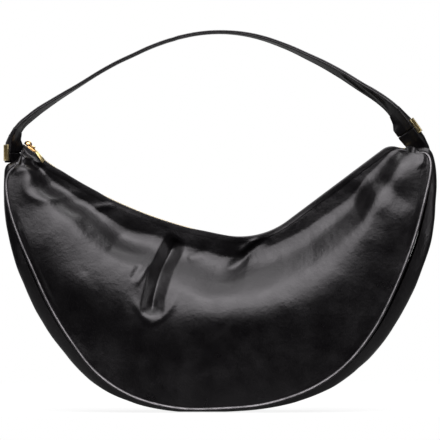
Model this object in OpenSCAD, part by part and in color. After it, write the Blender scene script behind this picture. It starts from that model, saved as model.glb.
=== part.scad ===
// Half moon shoulder bag: two leather panels on a gusset, a curved zip mouth and a twisted strap.
// X runs along the bag, Y from front to back, Z up. The base stands on Z = 0. Millimetres.

/* [Body] */
// Overall width of the bag
body_w = 460; // [440:5:480]
// Height of the left shoulder, from which the outline's heights are taken
side_h = 285; // [275:5:295]
// Half thickness that the panels gain at mid length
belly = 43; // [39:1:47]
// Half thickness that the panels gain at the two tips
tip_belly = 7; // [6:0.5:8.5]
// Thickness of the panel and gusset leather
leather_t = 1.6; // [1.4:0.1:1.8]
// Thickness of the turned facing along the mouth
facing_t = 2.2; // [2:0.1:2.4]
// Width of the facing along the mouth
facing_w = 6.5; // [6:0.5:7.5]
// Radius of the piping in the two seams
piping_r = 1.9; // [1.7:0.1:2.1]
// Thickness of the lining cloth
lining_t = 0.8; // [0.6:0.1:1]
// Thickness of the board in the base
board_t = 1.5; // [1.2:0.1:1.8]
// Thickness of the leather cap on each tip
cap_t = 2; // [1.8:0.1:2.4]

/* [Zip] */
// Spacing of the teeth on each tape
tooth_pitch = 4; // [3.5:0.25:4.5]
// Height of a tooth
tooth_h = 2.6; // [2.4:0.1:2.8]
// Reach of a tooth across the tape
tooth_w = 2.2; // [2:0.1:2.4]
// Slit between the two rows of teeth
slit = 1.6; // [1.4:0.1:1.8]
// Thickness of the zip tape
tape_t = 0.5; // [0.4:0.1:0.6]
// Length of the slider
slider_l = 11; // [10:0.5:12]
// Thickness of the slider's two plates
slider_t = 1.2; // [1:0.1:1.4]
// Length of the zip pull, from its pin
pull_l = 18; // [16:0.5:21]
// Width of the zip pull
pull_w = 4.7; // [4.4:0.1:5.2]
// Thickness of the zip pull
pull_t = 1.5; // [1.3:0.1:1.7]
// Radius of the zip pull's pin
pin_r = 0.7; // [0.6:0.05:0.8]

/* [Strap] */
// Width of the strap
strap_w = 24; // [22:1:26]
// Thickness of each leather layer of the strap
strap_skin = 1.1; // [1:0.1:1.3]
// Thickness of the strap's core
core_t = 0.8; // [0.7:0.1:1]
// Slope of the strap's straight sides, in degrees
strap_slope = 31.3; // [30:0.1:33]
// Radius of the strap's crown
crown_r = 165; // [155:1:175]
// Radius of the strap's left neck
left_neck_r = 33.5; // [31:0.5:36]
// Radius of the strap's right neck
right_neck_r = 85; // [80:1:90]
// Length of the folded loop at each end
loop_l = 21; // [19:0.5:23]

/* [Rings] */
// Length of a ring's side plates
plate_l = 17; // [16:0.5:18]
// Depth of a ring's side plates
plate_d = 5.5; // [5.3:0.1:5.9]
// Thickness of a ring's side plates
plate_t = 2; // [1.8:0.1:2.4]
// Width of a ring over its plates
ring_w = 26; // [25:0.5:28]
// Radius of a ring's two rods
rod_r = 1.2; // [1.1:0.05:1.3]

/* [Hidden] */

// Clearances, shared by every fit
seat_gap = 0.3;      // leather beside leather
lining_gap = 0.6;    // lining and board inside the leather
run_gap = 0.05;      // rods and pins in their loops
side_gap = 0.1;      // beside the pin's ears, and between the strap's layers
loop_gap = 0.5;      // beside a ring's plates
cap_gap = 0.45;      // behind the end caps
overrun = 1;         // how far cuts run past what they cut

// Mouth, seen from the front: it falls on a long arc, bends, rises straight, and ends in a hump
// and a short level stretch. Radii and lengths are shares of body_w, slopes are in degrees.
mouth_start = [-0.4517 * body_w, 0.988 * side_h];
mouth_dip_angle = 38.56;
bend_dip_angle = 10.1;
mouth_rise_angle = 36.9;
end_dip_angle = 6;
left_r = 1.0376 * body_w;
bend_r = 0.187 * body_w;
hump_r = 0.0348 * body_w;
rise_l = 0.2717 * body_w;
level_l = 0.0291 * body_w;
mouth_pieces = [
    [arc_l(left_r, mouth_dip_angle - bend_dip_angle), mouth_dip_angle - bend_dip_angle],
    [arc_l(bend_r, bend_dip_angle + mouth_rise_angle), bend_dip_angle + mouth_rise_angle],
    [rise_l, 0],
    [arc_l(hump_r, mouth_rise_angle + end_dip_angle), -mouth_rise_angle - end_dip_angle],
    [level_l, 0]
];
mouth_l = total(mouth_pieces);

// Outline of the bag at stations from the left tip, along the base, to the right tip.
// Each row is the seam's x and z, the outer edge's x and z, and the way along the mouth.
// x is a share of body_w from the middle, z a share of side_h, the last a share of the mouth.
outline_shares = [
    [-0.456, 0.951, -0.459, 0.955, 0],
    [-0.466, 0.913, -0.4615, 0.926, 0.012],
    [-0.483, 0.890, -0.486, 0.916, 0.03],
    [-0.491, 0.842, -0.496, 0.857, 0.055],
    [-0.482, 0.746, -0.494, 0.746, 0.09],
    [-0.460, 0.642, -0.483, 0.635, 0.14],
    [-0.432, 0.539, -0.462, 0.516, 0.2],
    [-0.393, 0.402, -0.421, 0.372, 0.27],
    [-0.343, 0.268, -0.368, 0.237, 0.34],
    [-0.281, 0.143, -0.295, 0.115, 0.41],
    [-0.198, 0.057, -0.205, 0.035, 0.47],
    [-0.095, 0.015, -0.095, 0, 0.52],
    [0.013, 0.015, 0.013, 0, 0.57],
    [0.111, 0.033, 0.116, 0.015, 0.62],
    [0.208, 0.087, 0.217, 0.059, 0.67],
    [0.288, 0.176, 0.306, 0.143, 0.73],
    [0.354, 0.309, 0.382, 0.272, 0.79],
    [0.405, 0.472, 0.444, 0.444, 0.85],
    [0.444, 0.635, 0.485, 0.622, 0.9],
    [0.469, 0.783, 0.4966, 0.779, 0.94],
    [0.484, 0.902, 0.497, 0.905, 0.97],
    [0.474, 0.957, 0.481, 0.977, 0.985],
    [0.436, 0.953, 0.441, 0.976, 1]
];
stations = 2 * (len(outline_shares) - 1);
// How far a panel stands out at even steps from the mouth to the seam. It hangs straight from the
// facing, swells to its fullest at six tenths, and draws in to the seam.
swell_shares = [[0], [0.19], [0.54], [0.8], [0.925], [0.975], [1], [0.998], [0.985], [0.94], [0.887]];
base_share = 0.6;    // share of the gusset's width that is flat across

// Insides, from one station of the outline to another
lining_stations = [4, stations - 4];
board_stations = [19, 27];
lining_drop = 11;    // lining's upper edge below the mouth
inner_share = 0.84;  // share of the gusset's half width that board and lining cover

// Zip, across from its middle line: teeth, slider's flanges, flat tape, leather's edge
flange_gap = 0.4;    // slider's flanges beside the teeth
edge_gap = 2.7;      // leather's edge beside the flat tape
tooth_in = slit / 2;
tooth_out = tooth_in + tooth_w;
flange_in = tooth_out + flange_gap;
flange_w = 1.2;
slider_w = 2 * (flange_in + flange_w);
tape_flat = slider_w / 2 + seat_gap;
mouth_half = tape_flat + edge_gap;
mouth_lift = 0.8;    // leather's edge above the zip's middle

// The tape turns down inside the leather, beside it, and ends a share of the facing's width below
tape_gap = 0.25;
tape_bend = 0.6;
tape_end_share = 1.25;
tape_out = mouth_half - leather_t - tape_gap;
tape_section = [
    [tooth_out, tape_t / 2], [tape_flat, tape_t / 2], [tape_out, -tape_bend],
    [tape_out, -tape_end_share * facing_w], [tape_out - tape_t, -tape_end_share * facing_w],
    [tape_out - tape_t, -tape_bend - tape_t / 2], [tape_flat - tape_t / 2, -tape_t / 2],
    [tooth_out, -tape_t / 2]
];

// Along the zip: teeth, stops, and the slider against its stops
tooth_l = 1.7;
stop_l = 2;
teeth_from = 7;
teeth_end = 5;
teeth_to = mouth_l - teeth_end;
slider_at = 1.5 * stop_l + slider_l / 2 + seat_gap;
slot_room = 0.7;
slot_h = tape_t + slot_room;
neck_room = 0.4;
neck_w = slit - neck_room;
neck_l = 3.5;
plate_z = tooth_h / 2 + seat_gap;
ear_t = 1;
pin_x = 0.5;         // pin ahead of the slider's middle
eye_r = 1.5;
eye_w = 3.8;
pin_z = plate_z + slider_t + eye_r + seat_gap;

// Rings and tabs: the shoulders, the middle of each ring, and how far its band is turned
loop_w = ring_w - 2 * plate_t - 2 * loop_gap;
loop_r = plate_d / 2;
loop_in = 0.2;       // band's surfaces inside the eye that it leaves
rod_room = 0.5;
rod_gap = 2 * loop_r + rod_room;
left_shoulder = 0.9284 * side_h;
right_shoulder = 0.9797 * side_h;
left_ring_gap = 0.7;
right_ring_gap = 18.9;
left_ring_at = [-0.4804 * body_w, left_shoulder + plate_l / 2 + left_ring_gap];
right_ring_at = [0.4365 * body_w, right_shoulder + right_ring_gap];
left_tab_l = 14;
right_tab_l = 26;
right_tab_lean = 54.5;
left_turn = 26;
right_turn = 42;
up_angle = 90;

// Strap: thickness, and the turn of the band along it as [share of length, degrees]
strap_t = 2 * strap_skin + core_t + 2 * side_gap;
turn_shares = [
    [0, 26], [0.06, 16], [0.1, 12], [0.15, 6], [0.22, 1], [0.55, 1],
    [0.62, 4], [0.7, 7], [0.8, 14], [0.88, 18], [0.94, 24], [1, 42]
];
strap_rings = 44;
left_rod = left_ring_at + [0, rod_gap / 2];
right_rod = right_ring_at + rod_gap / 2 * [-cos(right_tab_lean), sin(right_tab_lean)];
left_neck = arc_l(left_neck_r, up_angle - strap_slope);
right_neck = arc_l(right_neck_r, right_tab_lean - strap_slope);
crown = arc_l(crown_r, 2 * strap_slope);

// The two straight sides are as long as it takes to meet the right ring
bends = walk([[left_neck, strap_slope - up_angle], [crown, -2 * strap_slope],
              [right_neck, strap_slope - right_tab_lean]], left_neck + crown + right_neck, left_rod, up_angle);
side_sum = (right_rod[0] - bends[0]) / cos(strap_slope);
side_diff = (right_rod[1] - bends[1]) / sin(strap_slope);
strap_pieces = [
    [left_neck, strap_slope - up_angle],
    [(side_sum + side_diff) / 2, 0],
    [crown, -2 * strap_slope],
    [(side_sum - side_diff) / 2, 0],
    [right_neck, strap_slope - right_tab_lean]
];
strap_l = total(strap_pieces);

// Curves

function arc_l(r, turn) = r * turn * PI / 180;
function lerp(a, b, t) = a + (b - a) * t;
function unit(v) = v / norm(v);
function total(pieces) = sum([for (p = pieces) p[0]]);
function sum(v, i = 0) = i < len(v) ? v[i] + sum(v, i + 1) : 0;

// Where a walk of [length, turn] pieces has got to after s: x, z and heading
function walk(pieces, s, at, head, i = 0) =
    let (l = pieces[i][0], last = i == len(pieces) - 1)
    s <= l || last
        ? step(at, head, min(s, l), pieces[i][1] * min(s, l) / l)
        : let (p = step(at, head, l, pieces[i][1]))
          walk(pieces, s - l, [p[0], p[1]], p[2], i + 1);
function step(at, head, l, turn) =
    abs(turn) < 0.0001
        ? [at[0] + l * cos(head), at[1] + l * sin(head), head]
        : let (r = l / (turn * PI / 180))
          [at[0] + r * (sin(head + turn) - sin(head)),
           at[1] + r * (cos(head) - cos(head + turn)), head + turn];

// A smooth curve through rows of numbers, t from 0 to 1
function row(rows, i) = rows[max(0, min(len(rows) - 1, i))];
function smooth(rows, t) =
    let (n = len(rows) - 1, i = min(floor(t * n), n - 1), f = t * n - i,
         a = row(rows, i - 1), b = row(rows, i), c = row(rows, i + 1), d = row(rows, i + 2))
    (2 * b + (c - a) * f + (2 * a - 5 * b + 4 * c - d) * f * f
     + (3 * b - a - 3 * c + d) * f * f * f) / 2;

// The bag's surfaces. t runs along the bag, v or w across, depth goes inwards.

function mouth(s) = walk(mouth_pieces, s, mouth_start, -mouth_dip_angle);
function station(t) = smooth(outline_shares, t);
function seam(t) = let (r = station(t)) [r[0] * body_w, r[1] * side_h];
function rim(t) = let (r = station(t)) [r[2] * body_w, max(0, r[3] * side_h)];
function lip(t) =
    let (m = mouth(max(0, min(1, station(t)[4])) * mouth_l))
    [m[0] - mouth_lift * sin(m[2]), m[1] + mouth_lift * cos(m[2])];
function drop(t) = norm(seam(t) - lip(t));
function fullness(t) = tip_belly + (belly - tip_belly) * sin(180 * t);
function swell(v) = smooth(swell_shares, max(0, min(1, v)))[0];
function half_at(t, v) = mouth_half + fullness(t) * swell(v);

function panel_point(t, v) =
    let (p = lerp(lip(t), seam(t), v)) [p[0], half_at(t, v), p[1]];
function gusset_point(t, w) =
    let (p = lerp(seam(t), rim(t), min(1, (1 - pow(w, 4)) / (1 - pow(base_share, 4)))))
    [p[0], -w * half_at(t, 1), p[1]];

// A point of a surface, moved inwards by depth along the surface's normal
nudge = 0.002;
function moved(point, t, v, depth) =
    let (u0 = max(0, t - nudge), u1 = min(1, t + nudge),
         n = unit(cross(point(u1, v) - point(u0, v), point(t, v + nudge) - point(t, v - nudge))))
    point(t, v) - depth * n;
panel_surface = function (t, v) panel_point(t, v);
gusset_surface = function (t, w) gusset_point(t, w);

// A shell between two depths of a surface: from one station of the outline to another, and at
// each across from from(t) to to(t) in nv steps, bunched towards the start by bias
module shell(surface, span, from, to, nv, outer, inner, bias = 1) {
    nt = span[1] - span[0];
    ts = [for (i = [0 : nt]) (span[0] + i) / stations];
    grid = function (depth) [
        for (t = ts, j = [0 : nv])
            moved(surface, t, lerp(from(t), to(t), pow(j / nv, bias)), depth(t))
    ];
    points = concat(grid(outer), grid(inner));
    half = (nt + 1) * (nv + 1);
    at = function (i, j, side) side * half + i * (nv + 1) + j;
    quads = concat(
        [for (i = [0 : nt - 1], j = [0 : nv - 1])
            [at(i, j, 0), at(i, j + 1, 0), at(i + 1, j + 1, 0), at(i + 1, j, 0)]],
        [for (i = [0 : nt - 1], j = [0 : nv - 1])
            [at(i, j, 1), at(i + 1, j, 1), at(i + 1, j + 1, 1), at(i, j + 1, 1)]],
        [for (i = [0 : nt - 1]) [at(i, 0, 0), at(i + 1, 0, 0), at(i + 1, 0, 1), at(i, 0, 1)]],
        [for (i = [0 : nt - 1]) [at(i, nv, 1), at(i + 1, nv, 1), at(i + 1, nv, 0), at(i, nv, 0)]],
        [for (j = [0 : nv - 1]) [at(0, j, 1), at(0, j + 1, 1), at(0, j + 1, 0), at(0, j, 0)]],
        [for (j = [0 : nv - 1]) [at(nt, j, 0), at(nt, j + 1, 0), at(nt, j + 1, 1), at(nt, j, 1)]]
    );
    polyhedron(points, halves(quads));
}
function halves(quads) = [for (q = quads) each [[q[0], q[1], q[2]], [q[0], q[2], q[3]]]];

// A solid through rings of points, each ring turning the same way, closed at both ends
module loft(rings) {
    m = len(rings[0]);
    n = len(rings);
    quads = [for (i = [0 : n - 2], j = [0 : m - 1])
        let (k = (j + 1) % m)
        j < m / 2
            ? [i * m + j, i * m + k, (i + 1) * m + k, (i + 1) * m + j]
            : [i * m + k, (i + 1) * m + k, (i + 1) * m + j, i * m + j]];
    polyhedron(
        [for (r = rings) each r],
        concat(halves(quads),
               [[for (j = [0 : m - 1]) m - 1 - j]],
               [[for (j = [0 : m - 1]) (n - 1) * m + j]])
    );
}

// How far down a panel the facing ends, and where the panel starts below it and ends at the piping.
// The rulings cross the mouth and the seam at a slant, which slant_at allows for.
function slant_at(t, along) = max(0.6, abs(cross(unit(seam(t) - lip(t)), along)));
function seam_way(t) = unit(seam(min(1, t + nudge)) - seam(max(0, t - nudge)));
function lip_way(t) = let (a = mouth(station(t)[4] * mouth_l)[2]) [cos(a), sin(a)];
facing_end = function (t) min(facing_w / drop(t) / slant_at(t, lip_way(t)), 0.35);
panel_start = function (t) facing_end(t) + seat_gap / drop(t);
panel_end = function (t) 1 - (piping_r + seat_gap) / drop(t) / slant_at(t, seam_way(t));
lining_start = function (t) min(lining_drop / drop(t), 0.4);
lining_end = function (t) 1 - (piping_r + leather_t) / drop(t) / slant_at(t, seam_way(t));
gusset_edge = function (t) 1 - (piping_r + seat_gap) / half_at(t, 1);
gusset_start = function (t) -gusset_edge(t);
inner_edge = function (t) inner_share;
inner_start = function (t) -inner_share;
none = function (t) 0;
leather = function (t) leather_t;

// Body

module panel() {
    shell(panel_surface, [0, stations], panel_start, panel_end, 9, none, leather, 1.3);
}
module front_panel() {
    color("#1b1a1c") mirror([0, 1, 0]) panel();
}
module back_panel() {
    color("#1b1a1c") panel();
}
module gusset() {
    color("#1f1e20")
        shell(gusset_surface, [0, stations], gusset_start, gusset_edge, 8, none, leather);
}

module piping() {
    sides = 6;
    loft([
        for (i = [0 : stations])
            let (t = i / stations, u0 = max(0, t - nudge), u1 = min(1, t + nudge),
                 at = seam(t), along = unit(seam(u1) - seam(u0)), out = [along[1], -along[0]])
            [for (k = [0 : sides - 1])
                let (a = -360 * k / sides, side = piping_r * cos(a))
                [at[0] + side * out[0], half_at(t, 1) + piping_r * sin(a), at[1] + side * out[1]]]
    ]);
}
module front_piping() {
    color("#2a282b") mirror([0, 1, 0]) piping();
}
module back_piping() {
    color("#2a282b") piping();
}

module facing() {
    shell(panel_surface, [0, stations], none, facing_end, 2,
          function (t) leather_t - facing_t, leather);
}
module front_facing() {
    color("#242326") mirror([0, 1, 0]) facing();
}
module back_facing() {
    color("#242326") facing();
}

// The caps close the bag's ends between the two panels, past the zip. Each reaches down a share
// of the panel's end edge.
module end_cap(t, side, cap_share) {
    top = lip(t);
    down = unit(seam(t) - top);
    l = cap_share * drop(t);
    along = atan2(down[1], down[0]);
    translate([top[0], 0, top[1]]) rotate([0, -along, 0])
        translate([0, 0, side > 0 ? cap_gap : -cap_gap - cap_t])
        linear_extrude(cap_t)
        polygon([
            [0, -mouth_half], [l, -half_at(t, cap_share)],
            [l, half_at(t, cap_share)], [0, mouth_half]
        ]);
}
module left_end_cap() {
    color("#1b1a1c") end_cap(0, -1, 0.72);
}
module right_end_cap() {
    color("#1b1a1c") end_cap(1, 1, 0.55);
}

module lining() {
    depth = leather_t + lining_gap;
    shell(panel_surface, lining_stations, lining_start, lining_end, 9,
          function (t) depth, function (t) depth + lining_t, 1.3);
}
module front_lining() {
    color("#4a4340") mirror([0, 1, 0]) lining();
}
module back_lining() {
    color("#4a4340") lining();
}
module base_board() {
    depth = leather_t + lining_gap;
    color("#6b5b45")
        shell(gusset_surface, board_stations, inner_start, inner_edge, 8,
              function (t) depth, function (t) depth + board_t);
}
module gusset_lining() {
    depth = leather_t + board_t + 2 * lining_gap;
    color("#4a4340")
        shell(gusset_surface, lining_stations, inner_start, inner_edge, 8,
              function (t) depth, function (t) depth + lining_t);
}

// Zip

module at_mouth(s) {
    m = mouth(s);
    translate([m[0], 0, m[1]]) rotate([0, -m[2], 0]) children();
}

module tape() {
    n = 44;
    from = stop_l / 2;
    loft([
        for (i = [0 : n])
            let (m = mouth(lerp(from, mouth_l - from, i / n)))
            [for (p = tape_section) [m[0], p[0], m[1] + p[1] / cos(m[2])]]
    ]);
}
module front_tape() {
    color("#151515") mirror([0, 1, 0]) tape();
}
module back_tape() {
    color("#151515") tape();
}

module teeth(shift) {
    count = floor((teeth_to - teeth_from - shift) / tooth_pitch);
    for (i = [0 : count])
        at_mouth(teeth_from + shift + i * tooth_pitch)
            translate([-tooth_l / 2, tooth_in, -tooth_h / 2])
            cube([tooth_l, tooth_w, tooth_h]);
}
module front_teeth() {
    color("#c9a35a") mirror([0, 1, 0]) teeth(0);
}
module back_teeth() {
    color("#c9a35a") teeth(tooth_pitch / 2);
}
module top_stops() {
    color("#c9a35a")
        for (side = [-1, 1])
            at_mouth(stop_l)
            translate([-stop_l / 2, side > 0 ? tooth_in : -tooth_out, -tooth_h / 2])
            cube([stop_l, tooth_w, tooth_h]);
}
module bottom_stop() {
    color("#c9a35a")
        at_mouth(mouth_l - stop_l)
        translate([-stop_l / 2, -tooth_out, -tooth_h / 2])
        cube([stop_l, 2 * tooth_out, tooth_h]);
}

module zip_slider() {
    color("#d8b070") at_mouth(slider_at) {
        for (side = [-1, 1]) {
            translate([-slider_l / 2, -slider_w / 2, side > 0 ? plate_z : -plate_z - slider_t])
                cube([slider_l, slider_w, slider_t]);
            for (up = [-1, 1])
                translate([-slider_l / 2, side > 0 ? flange_in : -slider_w / 2,
                           up > 0 ? slot_h / 2 : -plate_z])
                    cube([slider_l, slider_w / 2 - flange_in, plate_z - slot_h / 2]);
            translate([pin_x - eye_r, side > 0 ? eye_w / 2 + side_gap : -eye_w / 2 - side_gap - ear_t,
                       plate_z + slider_t])
                cube([2 * eye_r, ear_t, pin_z + eye_r - plate_z - slider_t]);
        }
        translate([-slider_l / 2, -neck_w / 2, -plate_z]) cube([neck_l, neck_w, 2 * plate_z]);
        translate([pin_x, 0, pin_z]) rotate([90, 0, 0])
            cylinder(h = eye_w + 2 * side_gap, r = pin_r, center = true, $fn = 32);
    }
}

module zip_pull() {
    bar_from = eye_r * sqrt(2) + side_gap;
    color("#e6cf95") at_mouth(slider_at) translate([pin_x, 0, pin_z]) {
        difference() {
            union() {
                rotate([90, 0, 0]) cylinder(h = eye_w, r = eye_r, center = true, $fn = 48);
                translate([0, -eye_w / 2, -eye_r]) cube([bar_from, eye_w, pull_t]);
            }
            rotate([90, 0, 0])
                cylinder(h = eye_w + 2 * overrun, r = pin_r + run_gap, center = true, $fn = 32);
        }
        translate([bar_from, -pull_w / 2, -eye_r]) cube([pull_l - bar_from, pull_w, pull_t]);
    }
}

// Rings and tabs. In a ring's own frame Z runs up the strap, Y across the band and X out of it.

module left_frame() {
    translate([left_ring_at[0], 0, left_ring_at[1]]) rotate([0, 0, -left_turn]) children();
}
module right_frame() {
    translate([right_ring_at[0], 0, right_ring_at[1]]) rotate([0, right_tab_lean - 90, 0])
        rotate([0, 0, right_turn]) children();
}

module ring() {
    for (side = [-1, 1]) {
        translate([-plate_d / 2, side > 0 ? ring_w / 2 - plate_t : -ring_w / 2, -plate_l / 2])
            cube([plate_d, plate_t, plate_l]);
        translate([0, 0, side * rod_gap / 2]) rotate([90, 0, 0])
            cylinder(h = ring_w - plate_t, r = rod_r, center = true, $fn = 32);
    }
}
module left_ring() {
    color("#a98d55") left_frame() ring();
}
module right_ring() {
    color("#a98d55") right_frame() ring();
}

// A leather tab folded round a ring's lower rod, in the ring's frame, reaching down by l
module tab(l) {
    translate([0, 0, -rod_gap / 2]) difference() {
        union() {
            rotate([90, 0, 0]) cylinder(h = loop_w, r = loop_r, center = true, $fn = 48);
            translate([-loop_r, -loop_w / 2, -l]) cube([2 * loop_r, loop_w, l]);
        }
        rotate([90, 0, 0])
            cylinder(h = loop_w + 2 * overrun, r = rod_r + run_gap, center = true, $fn = 32);
    }
}

// The tabs are cut off level, just above the shoulders they are sewn to
module above(z) {
    translate([-body_w, -belly, z + seat_gap]) cube([2 * body_w, 2 * belly, body_w]);
}
module left_tab() {
    color("#1b1a1c") intersection() {
        left_frame() tab(left_tab_l);
        above(left_shoulder);
    }
}
module right_tab() {
    color("#1b1a1c") intersection() {
        right_frame() tab(right_tab_l);
        above(right_shoulder);
    }
}

// Strap. Each place along it gives the point, the direction across the band and the one out of it.

function strap_at(s) = walk(strap_pieces, s, left_rod, up_angle);
function strap_turn(s) = lookup(s / strap_l, turn_shares);
function strap_point(s, across, out) =
    let (p = strap_at(s), a = strap_turn(s), up = [-sin(p[2]), cos(p[2])],
         w = [-sin(a) * up[0], cos(a), -sin(a) * up[1]],
         n = [cos(a) * up[0], sin(a), cos(a) * up[1]])
    [p[0], 0, p[1]] + across * w + out * n;
function strap_section(s, w, low, high) = [
    strap_point(s, -w / 2, low), strap_point(s, -w / 2, high),
    strap_point(s, w / 2, high), strap_point(s, w / 2, low)
];

// A layer of the strap between two heights, leaving out some of its rings at each end
module band(skip, w, low, high) {
    s0 = loop_l + seat_gap;
    loft([for (i = [skip : strap_rings - skip])
        strap_section(lerp(s0, strap_l - s0, i / strap_rings), w, low, high)]);
}
module strap_outer() {
    color("#1b1a1c") band(0, strap_w, strap_t / 2 - strap_skin, strap_t / 2);
}
module strap_lining() {
    color("#242326") band(0, strap_w, -strap_t / 2, strap_skin - strap_t / 2);
}
module strap_core() {
    inset = 2;
    color("#6b5b45") band(1, strap_w - 2 * inset, -core_t / 2, core_t / 2);
}

// The strap's ends: leather folded round the upper rod, which thins to the strap and widens
// to it past the ring's plates
module strap_loop(s0, s1) {
    steps = 6;
    clear = (plate_l - rod_gap) / 2 + 2 * seat_gap;
    loft([
        for (i = [0 : steps])
            let (f = s0 < s1 ? i / steps : 1 - i / steps, s = lerp(s0, s1, f),
                 half = lerp(loop_r - loop_in, strap_t / 2, f),
                 w = lerp(loop_w - 2 * loop_in, strap_w, max(0, f * loop_l - clear) / (loop_l - clear)))
            strap_section(s, w, -half, half)
    ]);
}
module left_strap_loop() {
    color("#1b1a1c") difference() {
        union() {
            strap_loop(0, loop_l);
            left_frame() upper_eye(loop_r, loop_w);
        }
        left_frame() upper_eye(rod_r + run_gap, loop_w + 2 * overrun);
    }
}
module right_strap_loop() {
    color("#1b1a1c") difference() {
        union() {
            strap_loop(strap_l, strap_l - loop_l);
            right_frame() upper_eye(loop_r, loop_w);
        }
        right_frame() upper_eye(rod_r + run_gap, loop_w + 2 * overrun);
    }
}
module upper_eye(r, h) {
    translate([0, 0, rod_gap / 2]) rotate([90, 0, 0]) cylinder(h = h, r = r, center = true, $fn = 48);
}

front_panel();
back_panel();
gusset();
front_piping();
back_piping();
front_facing();
back_facing();
left_end_cap();
right_end_cap();
front_lining();
back_lining();
gusset_lining();
base_board();
front_tape();
back_tape();
front_teeth();
back_teeth();
top_stops();
bottom_stop();
left_tab();
right_tab();
left_ring();
right_ring();
left_strap_loop();
right_strap_loop();
strap_outer();
strap_lining();
strap_core();
zip_slider();
zip_pull();
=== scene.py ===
import math

import bpy
import numpy as np
from mathutils import Matrix, Vector, noise


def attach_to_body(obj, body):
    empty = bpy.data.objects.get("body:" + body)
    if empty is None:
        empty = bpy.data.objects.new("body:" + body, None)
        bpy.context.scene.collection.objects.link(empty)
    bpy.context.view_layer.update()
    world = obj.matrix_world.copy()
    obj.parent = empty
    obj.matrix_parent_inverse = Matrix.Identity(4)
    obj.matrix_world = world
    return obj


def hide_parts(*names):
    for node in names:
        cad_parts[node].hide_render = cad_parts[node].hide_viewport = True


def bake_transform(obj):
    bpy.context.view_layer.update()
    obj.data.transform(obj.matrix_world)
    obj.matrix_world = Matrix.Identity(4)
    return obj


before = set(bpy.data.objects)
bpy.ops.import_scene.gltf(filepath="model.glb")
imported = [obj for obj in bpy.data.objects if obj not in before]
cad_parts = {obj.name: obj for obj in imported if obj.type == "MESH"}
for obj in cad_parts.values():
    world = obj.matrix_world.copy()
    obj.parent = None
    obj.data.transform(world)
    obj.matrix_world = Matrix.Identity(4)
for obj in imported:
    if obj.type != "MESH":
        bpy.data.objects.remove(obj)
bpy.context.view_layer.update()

# Camera. The photograph is taken level with the middle of the bag, from far away with a long
# lens, so both ends show the same depth. One of its pixels is 1.055 mm on the bag.
PIXEL = 1.055  # mm
PHOTO_SIZE = 440
PHOTO_MIDDLE, PHOTO_BASE = 219.5, 411.5  # the column of the bag's middle, the row of its base
SENSOR_W = 36
CAMERA_WAY = 6.0
FOCUS_PLANE = 0.03  # m in front of the bag's middle, where the scale holds

bpy.ops.object.camera_add(
    location=(0, -CAMERA_WAY, (PHOTO_BASE - PHOTO_MIDDLE) * PIXEL / 1000),
    rotation=(math.radians(90), 0, 0),
)
camera = bpy.context.object
camera.data.sensor_width = SENSOR_W
camera.data.lens = SENSOR_W * (CAMERA_WAY - FOCUS_PLANE) / (PHOTO_SIZE * PIXEL / 1000)
bpy.context.scene.camera = camera
bpy.context.scene.view_settings.view_transform = "Standard"

# Floor and studio. The bag stands on a plain white floor in front of white paper, which shine
# only towards the camera, metal and glass. The rest of the room is dim grey.
PAPER_FROM, PAPER_TO = 0.75, 0.9  # how squarely a ray has to look backwards to meet the paper
PAPER_IN_METAL, FLOOR_IN_METAL = 0.3, 0.08
FLOOR_GLOW = 0.88  # the floor's share of plain white, while the rest takes the bag's shadow


def add_node(tree, kind, inputs=None, **settings):
    """Adds a node. An input is a number, a colour or the socket that feeds it."""
    made = tree.nodes.new(kind)
    for name, value in settings.items():
        setattr(made, name, value)
    for name, value in (inputs or {}).items():
        if isinstance(value, bpy.types.NodeSocket):
            tree.links.new(value, made.inputs[name])
        else:
            made.inputs[name].default_value = value
    return made


def paint(code):
    """A colour written as sRGB hex, as the linear colour that the nodes take."""
    parts = [int(code[i : i + 2], 16) / 255 for i in (1, 3, 5)]
    return [p / 12.92 if p <= 0.04045 else ((p + 0.055) / 1.055) ** 2.4 for p in parts] + [1]


def emptied(owner):
    """The node tree of a new world or material, with nothing in it."""
    owner.use_nodes = True
    owner.node_tree.nodes.clear()
    return owner.node_tree


world = bpy.data.worlds.new("studio")
bpy.context.scene.world = world
tree = emptied(world)
path = add_node(tree, "ShaderNodeLightPath")
way = add_node(tree, "ShaderNodeTexCoord")
across = add_node(tree, "ShaderNodeSeparateXYZ", {0: way.outputs["Generated"]})
paper = add_node(
    tree, "ShaderNodeMapRange",
    {"Value": across.outputs["Y"], "From Min": PAPER_FROM, "From Max": PAPER_TO},
)
mirrored = add_node(
    tree, "ShaderNodeMath",
    {0: path.outputs["Is Glossy Ray"], 1: PAPER_IN_METAL, 2: path.outputs["Is Transmission Ray"]},
    operation="MULTIPLY_ADD",
)
on_paper = add_node(
    tree, "ShaderNodeMath", {0: mirrored.outputs[0], 1: paper.outputs[0]}, operation="MULTIPLY"
)
seen = add_node(
    tree, "ShaderNodeMath", {0: on_paper.outputs[0], 1: path.outputs["Is Camera Ray"]},
    operation="ADD", use_clamp=True,
)
room = add_node(tree, "ShaderNodeBackground", {"Color": paint("#303032"), "Strength": 1.0})
white = add_node(tree, "ShaderNodeBackground", {"Color": (1, 1, 1, 1), "Strength": 1.0})
mixed = add_node(
    tree, "ShaderNodeMixShader", {0: seen.outputs[0], 1: room.outputs[0], 2: white.outputs[0]}
)
add_node(tree, "ShaderNodeOutputWorld", {"Surface": mixed.outputs[0]})

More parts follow.
